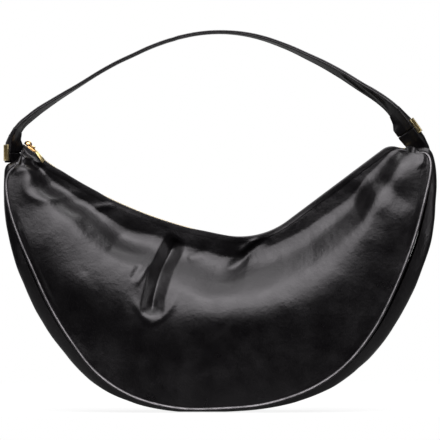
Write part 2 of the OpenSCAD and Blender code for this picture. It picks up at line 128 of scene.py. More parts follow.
floor_paint = bpy.data.materials.new("floor_paper")
tree = emptied(floor_paint)
path = add_node(tree, "ShaderNodeLightPath")
direct = add_node(
    tree, "ShaderNodeMath",
    {0: path.outputs["Is Camera Ray"], 1: path.outputs["Is Transmission Ray"]}, operation="ADD",
)
seen = add_node(
    tree, "ShaderNodeMath", {0: direct.outputs[0], 1: path.outputs["Is Glossy Ray"]},
    operation="ADD", use_clamp=True,
)
level = add_node(
    tree, "ShaderNodeMath",
    {0: path.outputs["Is Glossy Ray"], 1: FLOOR_IN_METAL, 2: direct.outputs[0]},
    operation="MULTIPLY_ADD", use_clamp=True,
)
share = add_node(
    tree, "ShaderNodeMath", {0: seen.outputs[0], 1: FLOOR_GLOW}, operation="MULTIPLY"
)
matte = add_node(tree, "ShaderNodeBsdfDiffuse", {"Color": paint("#f2f2f2")})
shine = add_node(
    tree, "ShaderNodeEmission", {"Color": (1, 1, 1, 1), "Strength": level.outputs[0]}
)
mixed = add_node(
    tree, "ShaderNodeMixShader", {0: share.outputs[0], 1: matte.outputs[0], 2: shine.outputs[0]}
)
add_node(tree, "ShaderNodeOutputMaterial", {"Surface": mixed.outputs[0]})

bpy.ops.mesh.primitive_plane_add(size=1, location=(0, 0.425, -0.0004))
floor = bpy.context.object
floor.name = "floor"
floor.scale = (1.2, 1.15, 1)
floor.data.materials.append(floor_paint)

# Lamps. A wide soft box above and in front with a brighter core, and one straight above, make the
# broad sheen on the bag's upper half. A weak tall strip stands on either side, and one is behind.
BAG_MIDDLE = (0, 0, 0.17)
# Each lamp's name, place, size and power
SOFT_BOXES = [
    ("front_box", (-0.1, -1.07, 1.22), (2.6, 1.5), 35),
    ("front_core", (0.2, -1.05, 1.24), (1.7, 0.9), 8),
    ("top_box", (0.05, 0, 1.67), (2.2, 1.9), 34),
    ("left_strip", (-1.5, -0.5, 0.4), (0.2, 0.8), 1.6),
    ("right_strip", (1.5, -0.3, 0.35), (0.2, 0.8), 1.8),
    ("back_fill", (0, 1.7, 1.3), (1.8, 0.9), 14),
]
for name, at, size, power in SOFT_BOXES:
    bpy.ops.object.light_add(type="AREA", location=at)
    lamp = bpy.context.object
    lamp.name = name
    lamp.data.shape = "RECTANGLE"
    lamp.data.size, lamp.data.size_y = size
    lamp.data.energy = power
    lamp.rotation_euler = (Vector(BAG_MIDDLE) - Vector(at)).to_track_quat("-Z", "Y").to_euler()

# Front panel. One large piece of smooth black calf leather, 1.6 mm thick, cut to the half moon,
# sewn to the gusset along its edge. It sags into folds below the ends of the strap.
MM = 0.001
BODY_W, SIDE_H = 460.0, 285.0
BELLY, TIP_BELLY = 43.0, 7.0
LEATHER_T = 1.6
MOUTH_HALF = 7.6
MOUTH_START, MOUTH_DIP = (-0.4517 * BODY_W, 0.988 * SIDE_H), 38.56


def arc(radius, turn):
    """A piece of a line, as [length, turn], that bends by a radius."""
    return [radius * math.radians(abs(turn)), turn]


MOUTH = [
    arc(1.0376 * BODY_W, 28.46),
    arc(0.187 * BODY_W, 47),
    [0.2717 * BODY_W, 0],
    arc(0.0348 * BODY_W, -42.9),
    [0.0291 * BODY_W, 0],
]
MOUTH_L = sum(piece[0] for piece in MOUTH)

# Each row of the outline: the seam's x and z, the outer edge's x and z, the way along the mouth
OUTLINE = [
    [-0.456, 0.951, -0.459, 0.955, 0],
    [-0.466, 0.913, -0.472, 0.930, 0.012],
    [-0.483, 0.890, -0.4925, 0.914, 0.03],
    [-0.491, 0.842, -0.496, 0.857, 0.055],
    [-0.482, 0.746, -0.494, 0.746, 0.09],
    [-0.460, 0.642, -0.483, 0.635, 0.14],
    [-0.432, 0.539, -0.462, 0.516, 0.2],
    [-0.393, 0.402, -0.421, 0.372, 0.27],
    [-0.343, 0.268, -0.368, 0.237, 0.34],
    [-0.281, 0.143, -0.295, 0.115, 0.41],
    [-0.198, 0.057, -0.205, 0.035, 0.47],
    [-0.095, 0.015, -0.095, 0, 0.52],
    [0.013, 0.015, 0.013, 0, 0.57],
    [0.111, 0.033, 0.116, 0.015, 0.62],
    [0.208, 0.087, 0.217, 0.059, 0.67],
    [0.288, 0.176, 0.306, 0.143, 0.73],
    [0.354, 0.309, 0.382, 0.272, 0.79],
    [0.405, 0.472, 0.444, 0.444, 0.85],
    [0.444, 0.635, 0.485, 0.622, 0.9],
    [0.469, 0.783, 0.4966, 0.779, 0.94],
    [0.484, 0.902, 0.497, 0.905, 0.97],
    [0.474, 0.957, 0.481, 0.977, 0.985],
    [0.436, 0.953, 0.441, 0.976, 1],
]
# How far a panel stands out, from the mouth (0) to the seam (1)
SWELL = [0, 0.19, 0.54, 0.8, 0.93, 0.985, 0.992, 0.975, 0.947, 0.917, 0.887]
# How deep the strip is that hangs flat below the mouth, in mm, by the photo's columns, and
# behind, and the largest share of the panel's drop that it takes
FLAT_BEHIND, FLAT_LIMIT = 9.0, 0.42
FLAT_STRIP = [(20, 3), (32, 5), (42, 8), (60, 13), (78, 15), (95, 15), (110, 18), (137, 22),
              (152, 20), (165, 18), (185, 20), (205, 20), (225, 22), (240, 21), (250, 17),
              (280, 16), (304, 20), (345, 21), (362, 13), (380, 9), (392, 5)]


def walk(pieces, start, heading, s):
    """Place and heading, in degrees, after s along pieces of [length, turn]."""
    s = np.asarray(s, float)
    x, z, head = np.zeros(s.shape), np.zeros(s.shape), np.zeros(s.shape)
    at, done = (start[0], start[1], heading), 0.0
    for i, (length, turn) in enumerate(pieces):
        here = (s >= done) if i else np.full(s.shape, True)
        x[here], z[here], head[here] = step(at, s[here] - done, turn * (s[here] - done) / length)
        at = step(at, length, turn)
        done += length
    return x, z, head


def step(at, length, turn):
    """Place and heading after one bend or straight run."""
    half = np.radians(turn) / 2
    chord = length * np.sinc(half / math.pi)
    a = math.radians(at[2]) + half
    return at[0] + chord * np.cos(a), at[1] + chord * np.sin(a), at[2] + turn


def smooth(rows, t):
    """A smooth curve through rows of numbers, t from 0 to 1."""
    rows = np.asarray(rows, float)
    last = len(rows) - 1
    i = np.minimum((t * last).astype(int), last - 1)
    f = (t * last - i)[:, None]
    a, b, c, d = (rows[np.clip(i + k, 0, last)] for k in (-1, 0, 1, 2))
    return (2 * b + (c - a) * f + (2 * a - 5 * b + 4 * c - d) * f**2
            + (3 * b - a - 3 * c + d) * f**3) / 2


def soften(values, spread):
    """Smooths evenly spaced rows over spread steps, with both ends kept."""
    reach = int(4 * spread)
    kernel = np.exp(-((np.arange(-reach, reach + 1) / spread) ** 2) / 2)
    kernel /= kernel.sum()
    before = 2 * values[0] - values[reach:0:-1]
    after = 2 * values[-1] - values[-2 : -reach - 2 : -1]
    long = np.concatenate([before, values, after])
    return np.stack([np.convolve(c, kernel, "valid") for c in long.T], 1)


def outline_table():
    """The outline at every half millimetre of the seam, evened out over 2.5 mm."""
    t = np.linspace(0, 1, 4001)
    rows = smooth(OUTLINE, t) * [BODY_W, SIDE_H, BODY_W, SIDE_H, MOUTH_L]
    rows = np.column_stack([rows, t])
    way = np.concatenate([[0], np.cumsum(np.hypot(*np.diff(rows[:, :2], axis=0).T))])
    even = np.linspace(0, way[-1], int(way[-1] * 2))
    rows = np.stack([np.interp(even, way, c) for c in rows.T], 1)
    rows = soften(rows, 5)
    rows[:, 3] = np.maximum(rows[:, 3], 0)
    rows[:, 4] = np.clip(rows[:, 4], 0, MOUTH_L)
    return even / way[-1], rows


OUTLINE_WAY, OUTLINE_ROWS = outline_table()
SWELL_AT = np.linspace(0, 1, 401)
SWELL_OUT = soften(smooth(np.array(SWELL)[:, None], SWELL_AT), 5)[:, 0]


def ramp(value, low, high):
    """0 below low, 1 above high, smooth between."""
    t = np.clip((value - low) / (high - low), 0, 1)
    return t * t * (3 - 2 * t)


def outline(q):
    """The outline's columns and its place t, at a share q of the seam's length."""
    return [np.interp(q, OUTLINE_WAY, c) for c in OUTLINE_ROWS.T]


def at_mouth_line(way):
    """Place and heading on the mouth's middle line."""
    return walk(MOUTH, MOUTH_START, -MOUTH_DIP, way)


def photo_column(x):
    """Where the photo shows a place that is x mm to the right of the bag's middle."""
    return x / PIXEL + PHOTO_MIDDLE


def half_depth(t, v):
    """How far a panel stands from the bag's middle plane, at a share v of its drop."""
    return MOUTH_HALF + (TIP_BELLY + (BELLY - TIP_BELLY) * np.sin(np.pi * t)) * np.interp(
        v, SWELL_AT, SWELL_OUT
    )


def hung(v, drop, mouth_x, side):
    """The share v with the strip taken off that hangs flat under the mouth."""
    strip = np.interp(photo_column(mouth_x), *zip(*FLAT_STRIP)) if side < 0 else FLAT_BEHIND
    flat = np.minimum(strip, FLAT_LIMIT * drop) / drop
    return np.maximum(v - flat * (1 - ramp(v, flat, flat + FLAT_LIMIT)), 0)


LIP_BEHIND, LIP_LOW, LIP_RISE = 0.9, 0.8, 0.9


def lip_lift(way, side):
    """How far the leather's edge stands above the zip's middle: in front, higher in two runs."""
    if side > 0:
        return LIP_BEHIND
    u = photo_column(at_mouth_line(way)[0])
    left_run = ramp(u, 50, 62) * (1 - ramp(u, 94, 108))
    right_run = ramp(u, 186, 206) * (1 - ramp(u, 394, 401))
    return LIP_LOW + LIP_RISE * (left_run + right_run)


def plain_panel(q, v, side):
    """A panel without its folds: q along the outline, v from the mouth (0) to the seam (1)."""
    seam_x, seam_z, _, _, way, t = outline(q)
    x, z, head = at_mouth_line(way)
    y = half_depth(t, hung(v, np.hypot(seam_x - x, seam_z - z), x, side))
    lift = lip_lift(way, side)
    x = x - lift * np.sin(np.radians(head))
    z = z + lift * np.cos(np.radians(head))
    return np.stack([x + (seam_x - x) * v, y, z + (seam_z - z) * v], -1)


def fold(u, w, route, height, width, ends=0.25, sharp=False):
    """A ridge, or with a height below 0 a valley, along a route of photo places. Sizes in mm."""
    route = smooth(route, np.linspace(0, 1, 6 * len(route)))
    near, along, done = np.full(u.shape, 1e9), np.zeros(u.shape), 0.0
    for a, b in zip(route, route[1:]):
        d = b - a
        l = math.hypot(*d)
        t = np.clip(((u - a[0]) * d[0] + (w - a[1]) * d[1]) / l**2, 0, 1)
        gap = np.hypot(u - a[0] - t * d[0], w - a[1] - t * d[1])
        along = np.where(gap < near, done + t * l, along)
        near = np.minimum(near, gap)
        done += l
    share = along / done
    fade = ramp(share, 0, ends) * ramp(1 - share, 0, ends)
    if sharp:
        left = 1 - np.hypot(near * PIXEL, 0.6) / width
        return height * fade * (np.hypot(left, 0.09) + left) / 2
    return height * fade * np.exp(-((near * PIXEL / width) ** 2) / 2)


def dent(u, w, middle, radii, height, tilt=0):
    """A soft hollow, or with a height above 0 a swelling, at a photo place."""
    a = math.radians(tilt)
    du, dw = (u - middle[0]) * PIXEL, (w - middle[1]) * PIXEL
    p = (du * math.cos(a) + dw * math.sin(a)) / radii[0]
    r = (dw * math.cos(a) - du * math.sin(a)) / radii[1]
    return height * np.exp(-(p**2 + r**2) / 2)


# A fold's route, height, width, share of each end that fades and sharpness, and a dent's place,
# radii, height and tilt
FRONT_FOLDS = [
    # the belly's fullest line
    ([(36, 235), (58, 271), (84, 290), (112, 304), (150, 324), (190, 321), (240, 312), (270, 307),
      (300, 302), (320, 292), (338, 276), (356, 258), (390, 250)], 3.0, 16, 0.2),
    ([(20, 205), (36, 240), (58, 269), (84, 289), (112, 304)], 3.0, 19, 0.3),
    # left end
    ([(14, 158), (21, 157.5), (28.5, 158.5), (35, 161), (42, 164.5)], 1.8, 2.2),
    ([(8, 163), (18, 163), (28, 164.5), (38, 167.5), (46, 171)], -2.2, 3.0),
    ([(10, 174), (20, 168.5), (30, 168.5), (42, 170)], 1.2, 3.0),
    ([(44, 173.5), (34, 176), (27, 182), (26, 189), (32, 196), (44, 199.5), (58, 197.5),
      (72, 194), (86, 196)], 1.3, 3.4, 0.3),
    ([(84, 209), (97, 206.8), (105, 205.5), (118, 202.5)], 1.0, 2.8, 0.4),
    # the long fork below the mouth: one sharp deep valley, its bottom a thin line
    ([(178, 236), (175, 241), (170.5, 250), (164.5, 262), (160, 274), (155.5, 289), (152.6, 302),
      (151.4, 317)], -9.4, 12.5, 0.14, True),
    ([(129, 292), (138, 308), (150.6, 321), (162, 316.5), (172, 304), (180, 288)], 1.0, 2.6),
    ([(150, 260), (143, 272), (134, 287)], 1.2, 2.4),
    ([(140.5, 264), (136, 271), (130.5, 280)], -1.1, 2.4),
    # right of the fork
    ([(206, 251), (196, 255), (186, 260)], -0.9, 3.6),
    ([(262, 232), (252.6, 241), (242.5, 250), (236, 255)], 2.2, 2.6),
    ([(270, 237), (258, 244), (249, 250), (240, 259), (230, 266), (220, 268)], -2.6, 3.4),
    ([(264, 247), (246, 261), (226, 274), (206, 285), (190, 298)], -2.0, 7.5, 0.35),
    # right end
    ([(353.5, 178), (354, 190), (353.5, 202), (350, 215)], -1.3, 6.5, 0.4),
    ([(374, 174), (383, 182), (393, 190), (402, 201), (408, 213)], -1.7, 6.5, 0.4),
    ([(377.5, 204), (377.5, 222), (375.5, 243)], -0.9, 7.0, 0.4),
    ([(423, 134), (420, 143), (423.5, 152), (422, 161.5), (414, 168.5)], 1.3, 2.4),
    # small marks
    ([(78, 268), (86, 272), (92, 281), (101, 288)], -0.25, 2.2),
    ([(96, 236), (104, 244), (111, 249)], 0.3, 2.4),
]
FRONT_DENTS = [
    ((47, 184), (12, 7), -3.8, 8),
    ((76, 203), (18, 7), -2.6, 14),
    ((20, 150), (8, 5), -1.2, 30),
    ((130, 241), (20, 10), -3.2, 22),
    ((198, 252), (14, 8), -1.4, -8),
    ((232, 256), (15, 9), -2.8, -25),
    ((410, 153), (9, 8), -2.6, 0),
    ((400, 176), (16, 10), 1.7, -20),
    ((370, 196), (10, 15), 1.6, -8),
    ((362, 226), (12, 15), 0.9, 25),
    ((397, 226), (12, 18), 1.2, 18),
    ((66, 258), (36, 24), 3.0, 55),
    ((330, 320), (30, 20), 1.0, -40),
]
BACK_FOLDS = [
    ([(420, 160), (408, 158), (396, 163), (388, 172)], 2.0, 3.0),
    ([(424, 172), (408, 171), (394, 177), (380, 180)], -2.4, 3.4),
    ([(410, 188), (394, 190), (376, 186), (362, 192)], 2.0, 3.6),
    ([(352, 196), (336, 202), (322, 200)], -1.8, 4.0),
    ([(268, 238), (276, 256), (284, 280), (286, 306)], -2.4, 4.4),
    ([(258, 238), (266, 258), (275, 282), (277, 308)], 2.2, 3.2),
    ([(196, 240), (208, 256), (220, 268)], 1.2, 3.4),
    ([(60, 172), (52, 184), (44, 192)], -2.4, 3.4),
    ([(30, 158), (24, 168), (22, 182)], 2.0, 3.4),
    ([(60, 196), (74, 206), (86, 220)], 1.2, 4.5),
]
BACK_DENTS = [
    ((396, 182), (12, 7), -3.6, -8),
    ((340, 208), (18, 8), -2.2, -10),
    ((300, 230), (22, 10), -2.2, -15),
    ((50, 206), (16, 14), 1.8, 20),
    ((150, 290), (40, 22), 1.4, 15),
    ((330, 300), (34, 22), 1.4, -25),
]

# The hide's own unevenness, as waves of a length and a height, and where the noise is read
HIDE_WAVES = [(70, 1.2), (34, 0.55), (16, 0.24), (8, 0.1)]
FRONT_HIDE, BACK_HIDE = 3.7, 41.3


def relief(x, z, side):
    """How far the folds stand out of a panel."""
    u, w = photo_column(x), PHOTO_BASE - z / PIXEL
    folds, dents = (FRONT_FOLDS, FRONT_DENTS) if side < 0 else (BACK_FOLDS, BACK_DENTS)
    total = sum(fold(u, w, *f) for f in folds) + sum(dent(u, w, *d) for d in dents)
    hide = FRONT_HIDE if side < 0 else BACK_HIDE
    for wave, height in HIDE_WAVES:
        total = total + height * np.array(
            [noise.noise(Vector((a / wave, b / wave, hide))) for a, b in zip(x.flat, z.flat)]
        ).reshape(x.shape)
    return total


def panel_drop(q):
    """How far it is from the mouth down to the seam."""
    seam_x, seam_z, _, _, way, _ = outline(q)
    x, z, _ = at_mouth_line(way)
    return np.hypot(seam_x - x, seam_z - z)


def panel_at(q, v, side, depth=0.0):
    """Points of a panel: side -1 in front and 1 behind, depth inwards from the outer face."""
    q, v = np.broadcast_arrays(np.asarray(q, float), np.asarray(v, float))
    e = 0.002
    at = plain_panel(q, v, side)
    along = plain_panel(np.minimum(q + e, 1), v, side) - plain_panel(np.maximum(q - e, 0), v, side)
    down = plain_panel(q, np.minimum(v + e, 1), side) - plain_panel(q, np.maximum(v - e, 0), side)
    out = np.cross(along, down)
    out /= np.linalg.norm(out, axis=-1, keepdims=True)
    out *= np.where(out[..., 1:2] < 0, -1, 1)
    drop = panel_drop(q)
    fade = ramp(v * drop, 2, 8) * ramp((1 - v) * drop, 2, 10)
    at = at + out * (relief(at[..., 0], at[..., 2], side) * fade - depth)[..., None]
    at[..., 1] *= side
    return at


def shell(name, outer, inner, flip=False):
    """A closed sheet between two grids of points in mm, turned over to face outwards if asked."""
    n, m = outer.shape[:2]
    points = np.concatenate([outer.reshape(-1, 3), inner.reshape(-1, 3)]) * MM
    index = np.arange(2 * n * m).reshape(2, n, m)

    def quads(*corners):
        return np.stack(corners, -1).reshape(-1, 4)

    top, low = index
    faces = np.concatenate([
        quads(top[1:, :-1], top[1:, 1:], top[:-1, 1:], top[:-1, :-1]),
        quads(low[:-1, 1:], low[1:, 1:], low[1:, :-1], low[:-1, :-1]),
        quads(low[:-1, 0], low[1:, 0], top[1:, 0], top[:-1, 0]),
        quads(top[1:, -1], low[1:, -1], low[:-1, -1], top[:-1, -1]),
        quads(top[0, 1:], low[0, 1:], low[0, :-1], top[0, :-1]),
        quads(low[-1, :-1], low[-1, 1:], top[-1, 1:], top[-1, :-1]),
    ])
    if flip:
        faces = faces[:, ::-1]
    return mesh_piece(name, points, faces)


def mesh_piece(name, points, faces):
    """A new piece with smooth faces, its place in its mesh."""
    mesh = bpy.data.meshes.new(name)
    mesh.from_pydata(np.asarray(points).tolist(), [], [list(f) for f in faces])
    mesh.validate()
    mesh.update()
    piece = bpy.data.objects.new(name, mesh)
    bpy.context.scene.collection.objects.link(piece)
    bpy.ops.object.select_all(action="DESELECT")
    bpy.context.view_layer.objects.active = piece
    piece.select_set(True)
    bpy.ops.object.shade_smooth_by_angle(angle=math.radians(50))
    return piece


def attach(piece, finish, body, node):
    """Gives a piece its finish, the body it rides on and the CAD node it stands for."""
    piece.data.materials.append(finish)
    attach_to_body(piece, body)
    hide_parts(node)


def calf_leather(name, dark, light, roughness, grain=0.9, soft=10.0, crinkle=0.4):
    """Smooth dyed calf with a light wax finish: near black, with a broad soft sheen."""
    material = bpy.data.materials.new(name)
    tree = emptied(material)
    place = add_node(tree, "ShaderNodeTexCoord").outputs["Object"]
    # Grain of the hide, drawn somewhat coarser than the real 0.3 mm so that it shows
    pores = add_node(
        tree, "ShaderNodeTexVoronoi",
        {"Vector": place, "Scale": 1000 / grain, "Randomness": 1.0}, feature="SMOOTH_F1",
    )
    wrinkle = add_node(
        tree, "ShaderNodeTexNoise",
        {"Vector": place, "Scale": 1000 / (grain * 4.5), "Detail": 4.0, "Roughness": 0.55},
    )
    cloud = add_node(
        tree, "ShaderNodeTexNoise",
        {"Vector": place, "Scale": 1000 / (soft * 2.5), "Detail": 3.0, "Roughness": 0.6},
    )
    tone = add_node(
        tree, "ShaderNodeMix",
        {"Factor": cloud.outputs["Fac"], "A": paint(dark), "B": paint(light)}, data_type="RGBA",
    )
    blended = add_node(
        tree, "ShaderNodeMapRange",
        {"Value": cloud.outputs["Fac"], "From Min": 0.3, "From Max": 0.7,
         "To Min": roughness - 0.06, "To Max": roughness + 0.09},
    )
    fine = add_node(
        tree, "ShaderNodeBump",
        {"Height": pores.outputs["Distance"], "Strength": 0.14, "Distance": 0.0001},
    )
    middle = add_node(
        tree, "ShaderNodeBump",
        {"Height": wrinkle.outputs["Fac"], "Strength": crinkle, "Distance": 0.0007,
         "Normal": fine.outputs["Normal"]},
    )
    surface = add_node(
        tree, "ShaderNodeBsdfPrincipled",
        {"Base Color": tone.outputs["Result"], "Roughness": blended.outputs["Result"],
         "Normal": middle.outputs["Normal"], "IOR": 1.48, "Specular Tint": paint("#fffaff")},
    )
    add_node(tree, "ShaderNodeOutputMaterial", {"Surface": surface.outputs[0]})
    return material


black_calf = calf_leather("black_calf", "#040304", "#070607", 0.33)

PANEL_COLUMNS, PANEL_ROWS = 520, 94
FACING_W, FACING_LAP = 6.5, 1.2
PIPING_R, SEAM_GAP = 1.9, 0.1


def columns(count):
    """Places along the outline, closer together at the two ends and where the long folds are."""
    q = np.linspace(0, 1, 2001)
    dense = 1 + 1.1 * ramp(q, 0.26, 0.31) * (1 - ramp(q, 0.46, 0.52))
    dense = dense + 0.9 * (1 - ramp(q, 0.08, 0.16)) + 0.9 * ramp(q, 0.88, 0.94)
    share = np.cumsum(dense) - dense[0]
    return np.interp(np.linspace(0, 1, count), share / share[-1], q)


def make_panel(name, side):
    """The leather from under the facing to beside the piping, its rows closer at the mouth."""
    q = columns(PANEL_COLUMNS)[:, None]
    drop = panel_drop(q)
    first = np.minimum((FACING_W - FACING_LAP) / drop, 0.4)
    last = 1 - np.minimum((PIPING_R + SEAM_GAP) / drop, 0.25)
    rows = np.linspace(0, 1, PANEL_ROWS)[None, :] ** 1.12
    v = first + (last - first) * rows
    return shell(name, panel_at(q, v, side), panel_at(q, v, side, LEATHER_T), side < 0)


attach(make_panel("panel_front", -1), black_calf, "bag", "front_panel")

# Back panel. The same half moon of leather, cut and sewn in like the front one. It isn't
# photographed, so its folds are guessed.
attach(make_panel("panel_back", 1), black_calf, "bag", "back_panel")

# Gusset. One long strip of the same leather between the panels, from the left shoulder under
# the base to the right shoulder, flat across its middle and drawn in to the two seams.
GUSSET_FLAT = 0.6  # the share of its width that is flat
GUSSET_AT = np.linspace(-1, 1, 401)
GUSSET_OUT = np.minimum(1, (1 - GUSSET_AT**4) / (1 - GUSSET_FLAT**4))
GUSSET_OUT = soften(GUSSET_OUT[:, None], 14)[:, 0]
# Its unevenness: height, length along and across, and where the noise is read
GUSSET_WAVES = [(1.1, 46, 30, 9), (0.35, 17, 12, 5)]


def gusset_at(q, w, depth=0.0):
    """Points of the gusset: w from the back seam (-1) to the front one (1)."""
    q, w = np.broadcast_arrays(np.asarray(q, float), np.asarray(w, float))

    def plain(q, w):
        seam_x, seam_z, rim_x, rim_z, _, t = outline(q)
        out = np.interp(w, GUSSET_AT, GUSSET_OUT)
        x, z = seam_x + (rim_x - seam_x) * out, seam_z + (rim_z - seam_z) * out
        return np.stack([x, -w * half_depth(t, 1), z], -1)

    e = 0.003
    at = plain(q, w)
    along = plain(np.minimum(q + e, 1), w) - plain(np.maximum(q - e, 0), w)
    over = plain(q, np.minimum(w + e, 1)) - plain(q, np.maximum(w - e, -1))
    out = np.cross(along, over)
    out /= np.linalg.norm(out, axis=-1, keepdims=True)
    wave = np.array([
        sum(height * noise.noise(Vector((a / long, b / wide, c / long + start)))
            for height, long, wide, start in GUSSET_WAVES)
        for a, b, c in at.reshape(-1, 3)
    ]).reshape(q.shape)
    fade = ramp(1 - np.abs(w), 0.02, 0.25) * ramp(at[..., 2], 1, 14)
    at = at + out * (wave * fade - depth)[..., None]
    at[..., 2] = np.maximum(at[..., 2], depth)
    return at


q = np.linspace(0, 1, 460)[:, None]
edge = 1 - (PIPING_R + SEAM_GAP) / half_depth(outline(q)[5], 1)
w = np.linspace(-1, 1, 45)[None, :] * edge
gusset_strip = shell("gusset_strip", gusset_at(q, w), gusset_at(q, w, LEATHER_T))
attach(gusset_strip, black_calf, "bag", "gusset")

# Piping. A cord wrapped in thinner leather is caught in each seam and stands round and proud.
# A thin pale line, a painted highlight, runs along it round the bag's whole outline.
piped_calf = calf_leather("piped_calf", "#0c0b0d", "#131214", 0.34, 0.7, 6.0, 0.14)
tree = piped_calf.node_tree
surface = next(n for n in tree.nodes if n.type == "BSDF_PRINCIPLED")
# A painted highlight: the cord's base colour turns pale grey where the point attribute marks the
# side facing out and up.
highlight_mask = add_node(tree, "ShaderNodeAttribute", attribute_name="highlight_mask")
blended = add_node(
    tree, "ShaderNodeMix",
    {"Factor": highlight_mask.outputs["Fac"], "A": surface.inputs["Base Color"].links[0].from_socket,
     "B": paint("#8b878a")}, data_type="RGBA",
)
tree.links.new(blended.outputs["Result"], surface.inputs["Base Color"])


def make_piping(name, side):
    """The cord, slightly uneven, with tapered ends and a painted highlight along it that breaks in
    places.
    """
    steps, sides = 700, 20
    q = np.linspace(0, 1, steps)
    x, z, _, _, _, t = outline(q)
    at = np.stack([x, side * half_depth(t, 1), z], -1)
    along = np.gradient(at, axis=0)
    along /= np.linalg.norm(along, axis=1, keepdims=True)
    out = np.cross(along, np.array([0, 1.0, 0]))
    out /= np.linalg.norm(out, axis=1, keepdims=True)
    up = np.cross(along, out)
    # The painted highlight faces out from the bag and slightly up, and noise breaks it up along
    # the cord.
    highlight_way = np.array([0, side * 0.96, 0.28])
    rings, painted_highlight = [], []
    for i in range(steps):
        r = PIPING_R * (1 + 0.05 * noise.noise(Vector((q[i] * 210, side * 5.0, 0.5))))
        r *= 0.35 + 0.65 * min(1, i / 3, (steps - 1 - i) / 3)
        a = np.linspace(0, 2 * np.pi, sides, endpoint=False)[:, None]
        way = np.cos(a) * out[i] + np.sin(a) * up[i]
        rings.append(at[i] + r * way)
        highlight_strength = 0.75 + 0.6 * noise.noise(Vector((q[i] * 90, side * 3.0, 2.5)))
        highlight_strength *= float(ramp(q[i], 0.035, 0.06) * (1 - ramp(q[i], 0.974, 0.986)))
        painted_highlight.append(ramp(way @ highlight_way, 0.9, 0.99) * min(1, highlight_strength))
    cord = loft(name, np.array(rings))
    highlight_mask = cord.data.attributes.new("highlight_mask", "FLOAT", "POINT")
    highlight_mask.data.foreach_set("value", np.array(painted_highlight).ravel())
    return cord


def loft(name, rings):
    """A solid through rings of points in mm, closed at both ends."""
    n, m = rings.shape[:2]
    index = np.arange(n * m).reshape(n, m)
    after = np.roll(index, -1, axis=1)
    quads = np.stack([index[:-1], after[:-1], after[1:], index[1:]], -1).reshape(-1, 4)
    faces = [list(f) for f in quads] + [list(index[0][::-1]), list(index[-1])]
    piece = mesh_piece(name, rings.reshape(-1, 3) * MM, faces)
    bpy.ops.object.mode_set(mode="EDIT")
    bpy.ops.mesh.select_all(action="SELECT")
    bpy.ops.mesh.normals_make_consistent(inside=False)
    bpy.ops.object.mode_set(mode="OBJECT")
    return piece


for name, side, node in (("cord_front", -1, "front_piping"), ("cord_back", 1, "back_piping")):
    attach(make_piping(name, side), piped_calf, "bag", node)

# Facings. A strip of leather is folded over each edge of the mouth and sewn through, so a
# rounded band 6.5 mm wide lies on the panel and its turned edge catches the light.
turned_calf = calf_leather("turned_calf", "#060506", "#0b0a0b", 0.34, 0.7, 7.0, 0.3)
# The folded strip's section: how far down the panel, and how far out of it
FACING_OUTSIDE = [(0.0, -0.9), (0.05, -0.4), (0.3, 0.05), (0.8, 0.32), (1.5, 0.4), (2.6, 0.4),
                  (3.8, 0.36), (5.0, 0.34), (5.7, 0.34), (6.2, 0.24), (6.5, 0.05), (6.6, -0.2)]
FACING_INSIDE = [(6.5, -1.3), (5.2, -1.62), (2.4, -1.7), (0.9, -1.66), (0.25, -1.4)]


def make_facing(name, side):
    """The folded strip, flatter along the mouth's left part."""
    q = columns(PANEL_COLUMNS)[:, None]
    drop = panel_drop(q)
    scale = np.minimum(1, 0.35 * drop / FACING_W)
    profile = np.array(FACING_OUTSIDE + FACING_INSIDE)
    v = np.clip(profile[None, :, 0] * scale / drop, 0, 1)
    proud = 0.25 + 0.75 * ramp(outline(q)[4] / MOUTH_L, 0.52, 0.6)
    out = np.where(profile[:, 1] > 0, profile[:, 1] * proud, profile[:, 1])
    return loft(name, panel_at(q, v, side, -out))


for name, side, node in (("facing_strip_front", -1, "front_facing"),
                         ("facing_strip_back", 1, "back_facing")):
    attach(make_facing(name, side), turned_calf, "bag", node)

# End caps. Past the ends of the zip a small piece of leather closes each tip between the panels,
# sewn to both, and bulges a little.
CAP_BULGE = 1.4


def make_cap(name, q, side, share):
    """The sheet between both panels' ends, down to a share of their drop."""
    steps, rows = 13, 12
    front, back = (
        panel_at(np.full(rows, q), np.linspace(0.02, share, rows), panel) for panel in (-1, 1)
    )
    f = np.linspace(0, 1, steps)[None, :, None]
    sheet = front[:, None] * (1 - f) + back[:, None] * f
    bulge = np.sin(np.pi * np.linspace(0, 1, steps))[None, :] * CAP_BULGE + 0.2
    head = math.radians(at_mouth_line(0 if side < 0 else MOUTH_L)[2])
    out = side * np.array([math.cos(head), 0, math.sin(head)])
    outer = sheet + bulge[..., None] * out
    return shell(name, outer, outer - LEATHER_T * out, side < 0)


for name, q_end, side, share, node in (("tip_cap_left", 0.0, -1, 0.9, "left_end_cap"),
                                       ("tip_cap_right", 1.0, 1, 0.8, "right_end_cap")):
    attach(make_cap(name, q_end, side, share), black_calf, "bag", node)

# Lining. A woven cotton bag hangs inside the leather, sewn in below the facings, in three
# pieces like the leather ones.


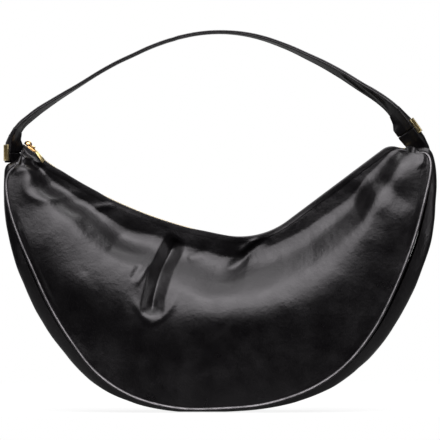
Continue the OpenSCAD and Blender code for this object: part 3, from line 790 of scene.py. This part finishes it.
def woven_cloth(name, dark, light, thread):
    """Plain woven cotton or zip tape: matt threads crossing at right angles."""
    material = bpy.data.materials.new(name)
    tree = emptied(material)
    place = add_node(tree, "ShaderNodeTexCoord").outputs["Object"]
    waves = []
    for direction in ("X", "Z"):
        waves.append(add_node(
            tree, "ShaderNodeTexWave",
            {"Vector": place, "Scale": 1000 / thread / 3.2, "Distortion": 0.6},
            wave_type="BANDS", bands_direction=direction,
        ).outputs["Fac"])
    weave = add_node(tree, "ShaderNodeMath", {0: waves[0], 1: waves[1]}, operation="MULTIPLY")
    tone = add_node(
        tree, "ShaderNodeMix",
        {"Factor": weave.outputs[0], "A": paint(dark), "B": paint(light)}, data_type="RGBA",
    )
    bump = add_node(
        tree, "ShaderNodeBump", {"Height": weave.outputs[0], "Strength": 0.5, "Distance": 0.0002}
    )
    surface = add_node(
        tree, "ShaderNodeBsdfPrincipled",
        {"Base Color": tone.outputs["Result"], "Roughness": 0.9, "Normal": bump.outputs["Normal"],
         "Sheen Weight": 0.25},
    )
    add_node(tree, "ShaderNodeOutputMaterial", {"Surface": surface.outputs[0]})
    return material


cotton = woven_cloth("lining_cotton", "#3a332f", "#574d47", 0.5)
LINING_T, LINING_DEPTH, GUSSET_LINING_DEPTH = 0.8, 2.3, 4.4
LINING_FROM, LINING_SEAM = 11, 4.5  # below the mouth, and above the seam
q = np.linspace(0.09, 0.93, 150)[:, None]
drop = panel_drop(q)
v = np.linspace(0, 1, 40)[None, :]
v = np.minimum(LINING_FROM / drop, 0.4) * (1 - v) + (1 - LINING_SEAM / drop) * v
for name, side, node in (("cloth_front", -1, "front_lining"), ("cloth_back", 1, "back_lining")):
    cloth = shell(name, panel_at(q, v, side, LINING_DEPTH),
                  panel_at(q, v, side, LINING_DEPTH + LINING_T), side < 0)
    attach(cloth, cotton, "bag", node)

w = np.linspace(-0.84, 0.84, 21)[None, :]
cloth = shell("cloth_gusset", gusset_at(q, w, GUSSET_LINING_DEPTH),
              gusset_at(q, w, GUSSET_LINING_DEPTH + LINING_T))
attach(cloth, cotton, "bag", "gusset_lining")

# Base board. A stiff strip of bonded leather board lies in the base, under the lining.
board_fibre = woven_cloth("board_fibre", "#5e4f3b", "#75654d", 1.4)
BOARD_DEPTH, BOARD_T = 2.3, 1.4
q = np.linspace(0.435, 0.60, 50)[:, None]
board = shell("base_stiffener", gusset_at(q, w, BOARD_DEPTH),
              gusset_at(q, w, BOARD_DEPTH + BOARD_T))
attach(board, board_fibre, "bag", "base_board")

# Zip tapes. Woven black tape is sewn under each facing and carries the teeth on its edge. It runs
# flat out of the teeth and then down along the inside of the leather.
zip_twill = woven_cloth("zip_twill", "#0c0c0d", "#1c1c1e", 0.7)
TOOTH_IN, TOOTH_OUT, TOOTH_H = 0.8, 3.0, 2.6
TAPE_T, TAPE_END, TAPE_DOWN = 0.5, 1.2, 9


def at_mouth(way):
    """The place on the zip's middle line, with X along the mouth and Z out of it."""
    x, z, head = at_mouth_line(way)
    return Matrix.Translation((float(x) * MM, 0, float(z) * MM)) @ Matrix.Rotation(
        math.radians(-float(head)), 4, "Y"
    )


def make_tape(name, side):
    """The tape's section, out of the teeth and down behind the leather, drawn along the mouth."""
    way = np.linspace(TAPE_END, MOUTH_L - TAPE_END, 260)
    q = np.interp(way, OUTLINE_ROWS[:, 4], OUTLINE_WAY)[:, None]
    x, z, head = (c[:, None] for c in at_mouth_line(way))
    drop = panel_drop(q)
    far = np.minimum(TAPE_DOWN, 0.5 * drop)
    edge, upper, under = TOOTH_OUT - 0.5, TAPE_T / 2, -TAPE_T / 2
    near, deep = 1.75, 2.2  # behind the leather's outer face

    def flat(y, up):
        return np.stack(np.broadcast_arrays(
            x - up * np.sin(np.radians(head)), side * y, z + up * np.cos(np.radians(head))), -1)

    def hidden(share, depth):
        return panel_at(q, far * share / drop, side, depth)

    return loft(name, np.concatenate([
        flat(edge, upper), flat(4.2, upper),
        hidden(0.25, near), hidden(0.6, near), hidden(1.0, near),
        hidden(1.0, deep), hidden(0.6, deep), hidden(0.28, deep),
        flat(3.9, under), flat(edge, under),
    ], 1))


for name, side, node in (("zip_tape_front", -1, "front_tape"), ("zip_tape_back", 1, "back_tape")):
    attach(make_tape(name, side), zip_twill, "bag", node)

# Zip teeth and stops. Stamped brass teeth, plated pale gold and clamped on the edge of the tape
# every 4 mm. Each has rolled corners and a narrower tip. Stops of the same brass end the rows.
CLOUD = 6.0  # mm, how wide the marks of handling are


def polished_metal(name, colour, roughness):
    """Plated brass or zinc: metal reflections in the plating's colour, faintly clouded."""
    material = bpy.data.materials.new(name)
    tree = emptied(material)
    place = add_node(tree, "ShaderNodeTexCoord").outputs["Object"]
    handled = add_node(
        tree, "ShaderNodeTexNoise",
        {"Vector": place, "Scale": 1000 / CLOUD, "Detail": 5.0, "Roughness": 0.65},
    )
    gloss = add_node(
        tree, "ShaderNodeMapRange",
        {"Value": handled.outputs["Fac"], "From Min": 0.3, "From Max": 0.7,
         "To Min": roughness - 0.06, "To Max": roughness + 0.08},
    )
    tint = add_node(
        tree, "ShaderNodeMix",
        {"Factor": handled.outputs["Fac"], "A": paint(colour[0]), "B": paint(colour[1])},
        data_type="RGBA",
    )
    polish = add_node(
        tree, "ShaderNodeBump",
        {"Height": handled.outputs["Fac"], "Strength": 0.15, "Distance": 0.0001},
    )
    surface = add_node(
        tree, "ShaderNodeBsdfPrincipled",
        {"Base Color": tint.outputs["Result"], "Roughness": gloss.outputs["Result"],
         "Normal": polish.outputs["Normal"], "Metallic": 1.0},
    )
    add_node(tree, "ShaderNodeOutputMaterial", {"Surface": surface.outputs[0]})
    return material


pale_gold = polished_metal("pale_gold", ("#b39a6b", "#d8c79c"), 0.34)


def solid_block(name, low, high, bevel, segments=2):
    """A block between two corners in mm, with rounded edges, built at the origin of its piece."""
    bpy.ops.object.select_all(action="DESELECT")
    middle = [(a + b) / 2 * MM for a, b in zip(low, high)]
    bpy.ops.mesh.primitive_cube_add(size=1, location=middle)
    block = bpy.context.object
    block.name = block.data.name = name
    block.scale = [(b - a) * MM for a, b in zip(low, high)]
    bpy.ops.object.transform_apply(location=True, rotation=True, scale=True)
    bpy.ops.object.mode_set(mode="EDIT")
    bpy.ops.mesh.select_all(action="SELECT")
    bpy.ops.mesh.bevel(offset=bevel * MM, segments=segments, profile=0.5, affect="EDGES")
    bpy.ops.object.mode_set(mode="OBJECT")
    bpy.ops.object.shade_smooth_by_angle(angle=math.radians(35))
    return block


def repeat(name, pattern, places):
    """Copies of one piece's mesh at many places, as one piece. The pattern itself is removed."""
    mesh = pattern.data
    points = np.array([v.co for v in mesh.vertices])
    faces = [list(f.vertices) for f in mesh.polygons]
    all_points, all_faces = [], []
    for i, place in enumerate(places):
        m = np.array(place)
        all_points.append(points @ m[:3, :3].T + m[:3, 3])
        all_faces += [[k + i * len(points) for k in f] for f in faces]
    bpy.data.objects.remove(pattern)
    return mesh_piece(name, np.concatenate(all_points), all_faces)


TOOTH_L, TOOTH_PITCH, STOP_L = 1.7, 4.0, 2.0
TIP_TO, TIP_SHORT, TIP_LOW = 1.3, 0.72, 0.85


def on_tape(name, side, length, bevel, segments=2):
    """A block as wide as a tooth, on one tape's edge, its middle at the origin along the mouth."""
    low, high = sorted((side * TOOTH_IN, side * TOOTH_OUT))
    return solid_block(name, (-length / 2, low, -TOOTH_H / 2), (length / 2, high, TOOTH_H / 2),
                       bevel, segments)


for name, side, first, count, node in (("gold_teeth_front", -1, 7, 112, "front_teeth"),
                                       ("gold_teeth_back", 1, 9, 111, "back_teeth")):
    tooth = on_tape("tooth", side, TOOTH_L, 0.35, 1)
    for vertex in tooth.data.vertices:
        if side * vertex.co.y < TIP_TO * MM:
            vertex.co.x *= TIP_SHORT
            vertex.co.z *= TIP_LOW
    teeth = repeat(name, tooth, [at_mouth(first + i * TOOTH_PITCH) for i in range(count)])
    attach(teeth, pale_gold, "bag", node)

stops = []
for side in (-1, 1):
    stops.append(on_tape("stop", side, STOP_L, 0.4))
    stops[-1].data.transform(at_mouth(STOP_L))


def join(name, pieces):
    """Joins pieces into the first one, under a new name."""
    bpy.ops.object.select_all(action="DESELECT")
    for piece in pieces:
        piece.select_set(True)
    bpy.context.view_layer.objects.active = pieces[0]
    if len(pieces) > 1:
        bpy.ops.object.join()
    pieces[0].name = pieces[0].data.name = name
    return pieces[0]


attach(join("gold_top_stops", stops), pale_gold, "bag", "top_stops")
bottom_block = solid_block("gold_bottom_stop", (-STOP_L / 2, -TOOTH_OUT, -TOOTH_H / 2),
                           (STOP_L / 2, TOOTH_OUT, TOOTH_H / 2), 0.4)
bottom_block.data.transform(at_mouth(MOUTH_L - STOP_L))
attach(bottom_block, pale_gold, "bag", "bottom_stop")

# Zip slider. Die-cast and plated: two rounded plates on a neck, flanges that hold the teeth, two
# ears with a pin for the pull, and a round domed crown behind them.
SLIDER_WAY, SLIDER_L, SLIDER_W, PLATE_T, PLATE_Z = 8.8, 11.0, 9.2, 1.2, 1.6
FLANGE_IN, FLANGE_OUT, FLANGE_Z, EAR_T = 3.4, 4.55, 0.6, 1.0
PIN_X, PIN_Z, PIN_R, EYE_R, EYE_W, EYE_GAP = 0.5, 4.6, 0.7, 1.5, 3.8, 0.1
CROWN_AT, CROWN_R, CROWN_FOOT = (-5.9, 0, 3.2), (4.4, 4.2, 4.4), -0.36


def round_bar(name, radius, length, at, axis, vertices=32, bevel=0.0):
    """A round bar in mm, along X or Y, its ends softened by a bevel."""
    bpy.ops.object.select_all(action="DESELECT")
    turn = {"X": (0, math.pi / 2, 0), "Y": (math.pi / 2, 0, 0)}[axis]
    bpy.ops.mesh.primitive_cylinder_add(
        vertices=vertices, radius=radius * MM, depth=length * MM,
        location=[c * MM for c in at], rotation=turn,
    )
    bar = bpy.context.object
    bar.name = bar.data.name = name
    bpy.ops.object.transform_apply(location=True, rotation=True, scale=True)
    if bevel:
        bpy.ops.object.mode_set(mode="EDIT")
        bpy.ops.mesh.select_all(action="DESELECT")
        bpy.ops.object.mode_set(mode="OBJECT")
        for face in bar.data.polygons:
            face.select = len(face.vertices) > 4  # the two round ends
        bpy.ops.object.mode_set(mode="EDIT")
        bpy.ops.mesh.select_mode(type="FACE")
        bpy.ops.mesh.bevel(offset=bevel * MM, segments=2, affect="EDGES")
        bpy.ops.object.mode_set(mode="OBJECT")
    bpy.ops.object.shade_smooth_by_angle(angle=math.radians(40))
    return bar


parts = []
for side in (-1, 1):
    low = PLATE_Z if side > 0 else -PLATE_Z - PLATE_T
    plate = solid_block("plate", (-SLIDER_L / 2, -SLIDER_W / 2, low),
                        (SLIDER_L / 2, SLIDER_W / 2, low + PLATE_T), 0.5, 3)
    for vertex in plate.data.vertices:
        share = vertex.co.x / MM / SLIDER_L + 0.5
        vertex.co.y *= 0.86 + 0.14 * share
    parts.append(plate)
    for up in (-1, 1):
        y = sorted((side * FLANGE_IN, side * FLANGE_OUT))
        z = sorted((up * FLANGE_Z, up * PLATE_Z))
        parts.append(solid_block("flange", (-SLIDER_L / 2 + 0.8, y[0], z[0]),
                                 (SLIDER_L / 2 - 0.3, y[1], z[1]), 0.2))
    ear_in = EYE_W / 2 + EYE_GAP
    y = sorted((side * ear_in, side * (ear_in + EAR_T)))
    parts.append(solid_block("ear", (PIN_X - 1.9, y[0], PLATE_Z + PLATE_T - 0.2),
                             (PIN_X + 1.5, y[1], PIN_Z + EYE_R), 0.45, 3))
parts.append(solid_block("neck", (-SLIDER_L / 2 + 0.2, -0.6, -PLATE_Z), (-2.2, 0.6, PLATE_Z), 0.2))
parts.append(round_bar("pin", PIN_R, EYE_W + 1.6, (PIN_X, 0, PIN_Z), "Y"))
bpy.ops.object.select_all(action="DESELECT")
bpy.ops.mesh.primitive_uv_sphere_add(segments=40, ring_count=24, radius=1)
crown = bpy.context.object
for vertex in crown.data.vertices:
    x, y, z = vertex.co
    dome = (x, y, max(z, CROWN_FOOT))
    vertex.co = [(a + r * c) * MM for a, r, c in zip(CROWN_AT, CROWN_R, dome)]
bpy.ops.object.shade_smooth()
parts.append(crown)
slider = join("gold_slider", parts)
slider.data.transform(at_mouth(SLIDER_WAY))
slider_gold = polished_metal("slider_gold", ("#c98f52", "#efcf9a"), 0.2)
attach(slider, slider_gold, "slider", "zip_slider")

# Zip pull. A plated bar, pierced at one end for the slider's pin. A groove runs down each face,
# between two rounded rails, and the bar is turned to show its face.
PULL_L, PULL_W, PULL_T, BAR_FROM = 18.0, 4.7, 1.5, 5.2
STEM_W, RAIL_R, RAIL_IN = 3.0, 0.95, 0.85
PULL_TURN, PULL_FORWARD, PULL_DOWN, PULL_SLOPE = 66, 9.8, 1.4, 0.26
eye = round_bar("eye", EYE_R, EYE_W, (0, 0, 0), "Y", 40)
hole = round_bar("hole", PIN_R + 0.05, EYE_W + 2, (0, 0, 0), "Y", 32)
cut = eye.modifiers.new("hole", "BOOLEAN")
cut.object = hole
cut.solver = "EXACT"
bpy.context.view_layer.objects.active = eye
bpy.ops.object.modifier_apply(modifier="hole")
bpy.data.objects.remove(hole)
low, high = -EYE_R, -EYE_R + PULL_T
stem = solid_block("stem", (1.2, -STEM_W / 2, low), (7.0, STEM_W / 2, high), 0.35)
bar = solid_block("bar", (BAR_FROM, -PULL_W / 2, low), (PULL_L, PULL_W / 2, high), 0.3)
rails = [
    round_bar("rail", RAIL_R, PULL_L - BAR_FROM - 0.2,
              ((PULL_L + BAR_FROM) / 2, side * (PULL_W / 2 - RAIL_IN), -EYE_R + PULL_T / 2),
              "X", 20, 0.25)
    for side in (-1, 1)
]
grip = join("grip", [bar] + rails)
pull = join("gold_pull", [eye, stem, grip])
# The stem is led forward over the lip and turned, and the bar slopes down along the panel
for vertex in pull.data.vertices:
    x, y, z = vertex.co / MM
    turn = math.radians(PULL_TURN) * float(ramp(x, 3.6, 7.5))
    z += EYE_R - PULL_T / 2
    y, z = y * math.cos(turn) - z * math.sin(turn), y * math.sin(turn) + z * math.cos(turn)
    z -= EYE_R - PULL_T / 2
    y -= PULL_FORWARD * float(ramp(x, 1, 6))
    z += -PULL_DOWN * float(ramp(x, 3, 6)) - PULL_SLOPE * max(0, x - 6)
    vertex.co = Vector((x, y, z)) * MM
pull.data.transform(at_mouth(SLIDER_WAY) @ Matrix.Translation((PIN_X * MM, 0, PIN_Z * MM)))
pull_gold = polished_metal("pull_gold", ("#b39c6c", "#d9c999"), 0.3)
attach(pull, pull_gold, "pull", "zip_pull")

# Rings. Each is two cast plates riveted on two rods, plated in a soft olive gold. The plates
# have a raised rim round a sunk face, and the sunk faces are a darker copy of the gold: painted
# shade.
RING_PLATE_L, RING_PLATE_D, RING_PLATE_T, RING_W = 17.0, 5.5, 2.0, 26.0
RIM_SIDE, RIM_END, RIM_STEP, SUNK = 0.75, 0.4, 0.18, 0.28
ROD_R, ROD_Z = 1.2, 3.0
LEFT_RING, RIGHT_RING = (-220.984, 273.794), (200.79, 298.114)
LEFT_TURN, RIGHT_LEAN, RIGHT_TURN = -26, -35.5, 42
ring_rim = polished_metal("ring_rim_gold", ("#b3a176", "#d9caa0"), 0.3)
# A darker copy of the gold, painted shade for the sunk faces
shaded_ring_face = polished_metal("ring_face_painted_shade", ("#5d5132", "#7d6c4a"), 0.44)
RING_PLACES = {
    "left": Matrix.Translation((LEFT_RING[0] * MM, 0, LEFT_RING[1] * MM))
    @ Matrix.Rotation(math.radians(LEFT_TURN), 4, "Z"),
    "right": Matrix.Translation((RIGHT_RING[0] * MM, 0, RIGHT_RING[1] * MM))
    @ Matrix.Rotation(math.radians(RIGHT_LEAN), 4, "Y")
    @ Matrix.Rotation(math.radians(RIGHT_TURN), 4, "Z"),
}


def ring_plate(side):
    """A plate of the ring, in front (-1) or behind (1), with three sunk faces in painted shade and
    soft edges.
    """
    y = sorted((side * (RING_W / 2 - RING_PLATE_T), side * RING_W / 2))
    bpy.ops.object.select_all(action="DESELECT")
    bpy.ops.mesh.primitive_cube_add(size=1, location=(0, (y[0] + y[1]) / 2 * MM, 0))
    plate = bpy.context.object
    plate.scale = (RING_PLATE_D * MM, RING_PLATE_T * MM, RING_PLATE_L * MM)
    bpy.ops.object.transform_apply(location=True, rotation=True, scale=True)
    for finish in (ring_rim, shaded_ring_face):
        plate.data.materials.append(finish)
    # The sunk faces, in painted shade: outward, to the front and to the back
    for axis, way in ((1, side), (0, -1), (0, 1)):
        best = max(plate.data.polygons, key=lambda f: f.normal[axis] * way * (1 + f.area))
        for face in plate.data.polygons:
            face.select = face.index == best.index
        bpy.ops.object.mode_set(mode="EDIT")
        bpy.ops.mesh.select_mode(type="FACE")
        bpy.ops.mesh.inset(thickness=(RIM_SIDE if axis == 1 else RIM_END) * MM)
        bpy.ops.mesh.inset(thickness=RIM_STEP * MM, depth=-SUNK * MM)
        bpy.context.object.active_material_index = 1
        bpy.ops.object.material_slot_assign()
        bpy.ops.object.mode_set(mode="OBJECT")
    soften_edges = plate.modifiers.new("soft", "BEVEL")
    soften_edges.width = 0.22 * MM
    soften_edges.segments = 2
    soften_edges.limit_method = "ANGLE"
    bpy.ops.object.modifier_apply(modifier="soft")
    bpy.ops.object.shade_smooth_by_angle(angle=math.radians(35))
    return plate


for end, node in (("left", "left_ring"), ("right", "right_ring")):
    parts = [ring_plate(-1), ring_plate(1)]
    for z in (-ROD_Z, ROD_Z):
        parts.append(round_bar("rod", ROD_R, RING_W - RING_PLATE_T, (0, 0, z), "Y", 28))
        parts[-1].data.materials.append(ring_rim)
    ring = join("gold_ring_" + end, parts)
    ring.data.transform(RING_PLACES[end])
    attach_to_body(ring, "ring_" + end)
    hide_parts(node)

# Tabs. A short strip of leather is folded round the lower rod of each ring, and both its ends
# are sewn into the bag's shoulder.
TAB_HALF = 10.4
FOLD_IN, FOLD_OUT = 1.3, 3.1  # the radii of leather that is folded round a rod
FOLD_GAP = 0.12  # half the gap between its two layers
TAB_LEVEL = {"left": 263.4, "right": 268.4}  # where a tab is cut, inside the shoulder
# How far a tab reaches to the right, and to the front and back, by its height
RIGHT_SIDE = ((260, 270, 279, 290, 298, 304), (226.3, 224.3, 222.1, 217.8, 215.2, 215.2))
TAB_DEPTH = {"left": ((263, 267, 271), (5, 8, 12)), "right": ((272, 279, 284), (5, 8, 12))}
BOW_ALONG, BOW_ACROSS = 2.6, 5.5


def hairpin(leg):
    """The outline of leather folded round a rod: how far down it goes and its place across."""
    inner, outer = FOLD_IN, FOLD_OUT
    turn = np.radians(np.linspace(89.9, -89.9, 17))
    path = [(leg, -outer), (leg * 0.6, -outer), (leg * 0.3, -outer)]
    path += [(-outer * math.cos(a) ** 0.5, -outer * math.copysign(abs(math.sin(a)) ** 0.5, a))
             for a in turn]
    path += [(leg * 0.3, outer), (leg * 0.6, outer), (leg, outer)]
    inside = [(leg, FOLD_GAP), (leg * 0.6, FOLD_GAP), (max(leg * 0.3, inner * 2), FOLD_GAP)]
    path += inside
    path += [(-inner * math.cos(a), -inner * math.sin(a)) for a in turn[::-1]]
    return path + [(down, -across) for down, across in reversed(inside)]


def bowed(at, down, over, inward, end):
    """Leather bows out past the ring's rear plate, on the side that faces the bag's middle."""
    rear = np.clip(np.broadcast_to(over, down.shape) / TAB_HALF, 0, 1)
    bow = np.where(inward > 0.6, (0.35 + 0.65 * rear) * (1 - ramp(down, 9, 17)), 0)
    m = np.array(RING_PLACES[end])
    along = BOW_ALONG if end == "left" else -BOW_ALONG
    move = along * m[:3, 0] + np.array([1, 0, 1]) * m[:3, 1] * BOW_ACROSS * rear[:, None]
    return at + bow[:, None] * move


def fold_strip(name, profile, half, place):
    """Leather of a folded outline, drawn out to half its width each way, with rounded edges."""
    profile = np.array(profile)
    rows = []
    for share in (-1, -0.985, -0.95, *np.linspace(-0.85, 0.85, 19), 0.95, 0.985, 1):
        edge = {1: 0.5, 0.985: 0.2}.get(round(abs(share), 3), 0.0)
        out = np.sign(profile[:, 1]) * np.maximum(np.abs(profile[:, 1]) - edge, 0.05)
        rows.append(place(profile[:, 0], share * half(profile[:, 0]), out))
    return loft(name, np.array(rows))


for end, leg, node in (("left", 9.0, "left_tab"), ("right", 38.0, "right_tab")):

    def in_ring(down, over, out):
        """From the tab's own directions to the bag's, in mm, cut level at the shoulder."""
        local = np.stack([out, np.broadcast_to(over, down.shape), -ROD_Z - down], -1)
        m = np.array(RING_PLACES[end])
        at = local @ m[:3, :3].T + m[:3, 3] / MM
        up = m[:3, 2]
        low = np.maximum(TAB_LEVEL[end] - at[:, 2], 0) / up[2]
        at = bowed(at + low[:, None] * up, down, over, out if end == "left" else -out, end)
        if end == "right":
            at[:, 0] = np.minimum(at[:, 0], np.interp(at[:, 2], *RIGHT_SIDE))
        deep = np.interp(at[:, 2], *TAB_DEPTH[end])
        at[:, 1] = np.clip(at[:, 1], -deep, deep)
        return at

    tab = fold_strip("leather_tab_" + end, hairpin(leg), lambda down: TAB_HALF, in_ring)
    attach(tab, black_calf, "bag", node)

# Strap. Two long strips of leather, the outer one with its edges turned in, sewn together over a
# thin stiff core. The band is twisted at both ends, where it meets the rings.
STRAP_W, STRAP_HALF_T, LOOP_L = 24.0, 1.6, 21.0
STRAP_START = (-220.984, 276.794)
STRAP = [[34.321, -58.7], [139.111, 0], [180.275, -62.6], [103.679, 0], [34.4179, -23.2]]
STRAP_L = sum(piece[0] for piece in STRAP)
CROWN_CREASE = 0.15
# How far the band is turned about its length, in degrees, by the share of its length
STRAP_TURNS = [(0, 26), (0.025, 22), (0.045, 14), (0.1, 12), (0.15, 6), (0.22, 1), (0.55, 1),
               (0.62, 4), (0.7, 7), (0.8, 14), (0.88, 18), (0.94, 24), (1, 42)]
# How far the two long sides bow outwards, in mm, by the way along
STRAP_BOWS = [(20, 0), (34, 2), (52, 4.6), (77, 5.4), (102, 5.4), (127, 5.9), (151, 5), (173, 2.2),
              (195, 0.6), (215, 0), (330, 0), (353, 1.6), (378, 4.2), (402, 4.9), (427, 4.2),
              (440, 4.4), (452, 3.9), (462, 2.4), (472, 0.6), (480, 0)]
BOW_AT = np.arange(493)
BOW_BY = soften(np.interp(BOW_AT, *zip(*STRAP_BOWS))[:, None], 6)[:, 0]
TURN_AT = np.linspace(-0.05, 1.05, 441)
TURN_BY = soften(np.interp(TURN_AT, *zip(*STRAP_TURNS))[:, None], 5)[:, 0]


def strap_at(s, over, out):
    """A point of the strap: s along it, over across the band, out of its outer face. In mm."""
    s, over, out = np.broadcast_arrays(*(np.asarray(c, float) for c in (s, over, out)))
    x, z, head = walk(STRAP, STRAP_START, 90, s)
    a, h = np.radians(np.interp(s / STRAP_L, TURN_AT, TURN_BY)), np.radians(head)
    nx, nz = -np.sin(h), np.cos(h)
    up = over * -np.sin(a) + out * np.cos(a) + np.interp(s, BOW_AT, BOW_BY)
    return np.stack([x + up * nx, over * np.cos(a) + out * np.sin(a), z + up * nz], -1)


# Soft folds of the band: [place, across] from one end to the other, height and width. They run
# slantwise along it and are deepest where it is squeezed and twisted at the right end.
STRAP_FOLDS = [
    ([(-96, -9), (-78, -3), (-58, 3), (-40, 8)], 0.9, 1.8),
    ([(-92, -4), (-74, 2), (-56, 8)], -0.9, 2.0),
    ([(-70, -9), (-54, -4), (-38, 1), (-26, 6)], -0.9, 1.8),
    ([(-60, -10), (-46, -7), (-30, -3)], 0.8, 1.6),
    ([(22, 6), (32, 0), (46, -6)], 0.6, 2.0),
    ([(24, -2), (34, -7), (44, -10)], -0.5, 2.0),
]


def strap_creases(s, over):
    """How far the creases stand out of the band: the one across its crown and the soft folds."""
    s, over = np.broadcast_arrays(s, over)
    ridge, groove = np.exp(-(((s - 219) / 2.4) ** 2) / 2), np.exp(-(((s - 214) / 2.6) ** 2) / 2)
    total = CROWN_CREASE * (ridge - groove)
    for route, height, width in STRAP_FOLDS:
        at = np.array(route, float)
        at[:, 0] += STRAP_L * (at[:, 0] < 0)
        middle = np.interp(s, at[:, 0], at[:, 1])
        fade = ramp(s, at[0, 0], at[0, 0] + 8) * (1 - ramp(s, at[-1, 0] - 8, at[-1, 0]))
        total = total + height * fade * np.exp(-(((over - middle) / width) ** 2) / 2)
    return total


def band_rings(half, rows, s):
    """Cross-sections from a list of [across as a share, out of the face]."""
    rows = np.array(rows)
    over = rows[None, :, 0] * half
    out = rows[None, :, 1]
    lean = np.array([0.14 * noise.noise(Vector((v / 40, 3.3, 0))) for v in s])[:, None]
    return strap_at(s[:, None], over + lean, out + strap_creases(s[:, None], over) + lean)


def face_rows(low, high, crown):
    """The upper face with a stitch groove near each edge, a rolled edge and a flat underside."""
    rows = []
    for a in np.linspace(-0.95, 0.95, 39):
        groove = 0.3 * math.exp(-(((abs(a) - 0.8) / 0.03) ** 2) / 2)
        rows.append((a, high + crown * (1 - a * a) - groove))
    edge = [(0.985, high - 0.15), (1.0, (low + high) / 2 + 0.1), (0.99, low + 0.2), (0.96, low)]
    rows += edge
    rows += [(a, low + (0.4 if abs(a) < 0.84 else 0)) for a in np.linspace(0.9, -0.9, 13)]
    return rows + [(-a, out) for a, out in reversed(edge)]


LAYER_GAP, CORE_HALF, CORE_HALF_T = 0.05, 9.6, 0.3
s = np.linspace(LOOP_L - 0.4, STRAP_L - LOOP_L + 0.4, 420)
top = face_rows(LAYER_GAP, STRAP_HALF_T, 0.45)
strap_top = loft("strap_face", band_rings(STRAP_W / 2, top, s))
attach(strap_top, turned_calf, "strap", "strap_outer")

under = [(a, -b) for a, b in face_rows(LAYER_GAP, STRAP_HALF_T, 0.1)]
strap_under = loft("strap_underside", band_rings(STRAP_W / 2 - 0.5, under, s))
attach(strap_under, black_calf, "strap", "strap_lining")

core_rows = [(-0.97, -CORE_HALF_T), (-1, 0), (-0.97, CORE_HALF_T), (0, CORE_HALF_T),
             (0.97, CORE_HALF_T), (1, 0), (0.97, -CORE_HALF_T), (0, -CORE_HALF_T)]
strap_middle = loft("strap_stiffener", band_rings(CORE_HALF, core_rows, s[6:-6:3]))
attach(strap_middle, board_fibre, "strap", "strap_core")

# Strap loops. At each end both layers are folded round the ring's upper rod and sewn back on
# themselves, narrower between the plates and full width above them.
LOOP_HALF, LOOP_WIDER, LOOP_CLEAR = 10.3, 1.7, 6.4
LOOP_THINNED = 1.05


def loop_half(down):
    """Half the loop's width: narrow until it is clear of the plates, then wider."""
    return LOOP_HALF + LOOP_WIDER * np.clip((down - LOOP_CLEAR) / (LOOP_L - LOOP_CLEAR), 0, 1)


def loop_profile():
    """The folded outline, thinned towards its end so that it meets the band's thickness."""
    profile = []
    for down, out in hairpin(LOOP_L + 1.2):
        if abs(out) > 1.4:
            out = math.copysign(abs(out) - LOOP_THINNED * np.clip(down / LOOP_L, 0, 1), out)
        profile.append((down, out))
    return profile


for end, node, sign, at in (("left", "left_strap_loop", 1, 0.0),
                            ("right", "right_strap_loop", -1, STRAP_L)):

    def on_strap(down, over, out):
        """From the loop's own directions to the bag's, in mm, the leather slightly rippled."""
        fade = np.clip(down / 8, 0, 1)
        wave = 0.5 * np.sin(down / 2.3 + over / 5.0) * fade * np.clip((LOOP_L - down) / 6, 0, 1)
        place = strap_at(at + sign * down, over, out + np.where(np.abs(out) > 0.6, wave, 0))
        return bowed(place, down, over, -out, end)

    loop = fold_strip("strap_fold_" + end, loop_profile(), loop_half, on_strap)
    loop.data.materials.append(black_calf)
    start = strap_at(at + sign * 1.0, 0, 0) * MM
    finish = strap_at(at + sign * (LOOP_L - 1.0), 0, 0) * MM
    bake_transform(loop)
    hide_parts(node)
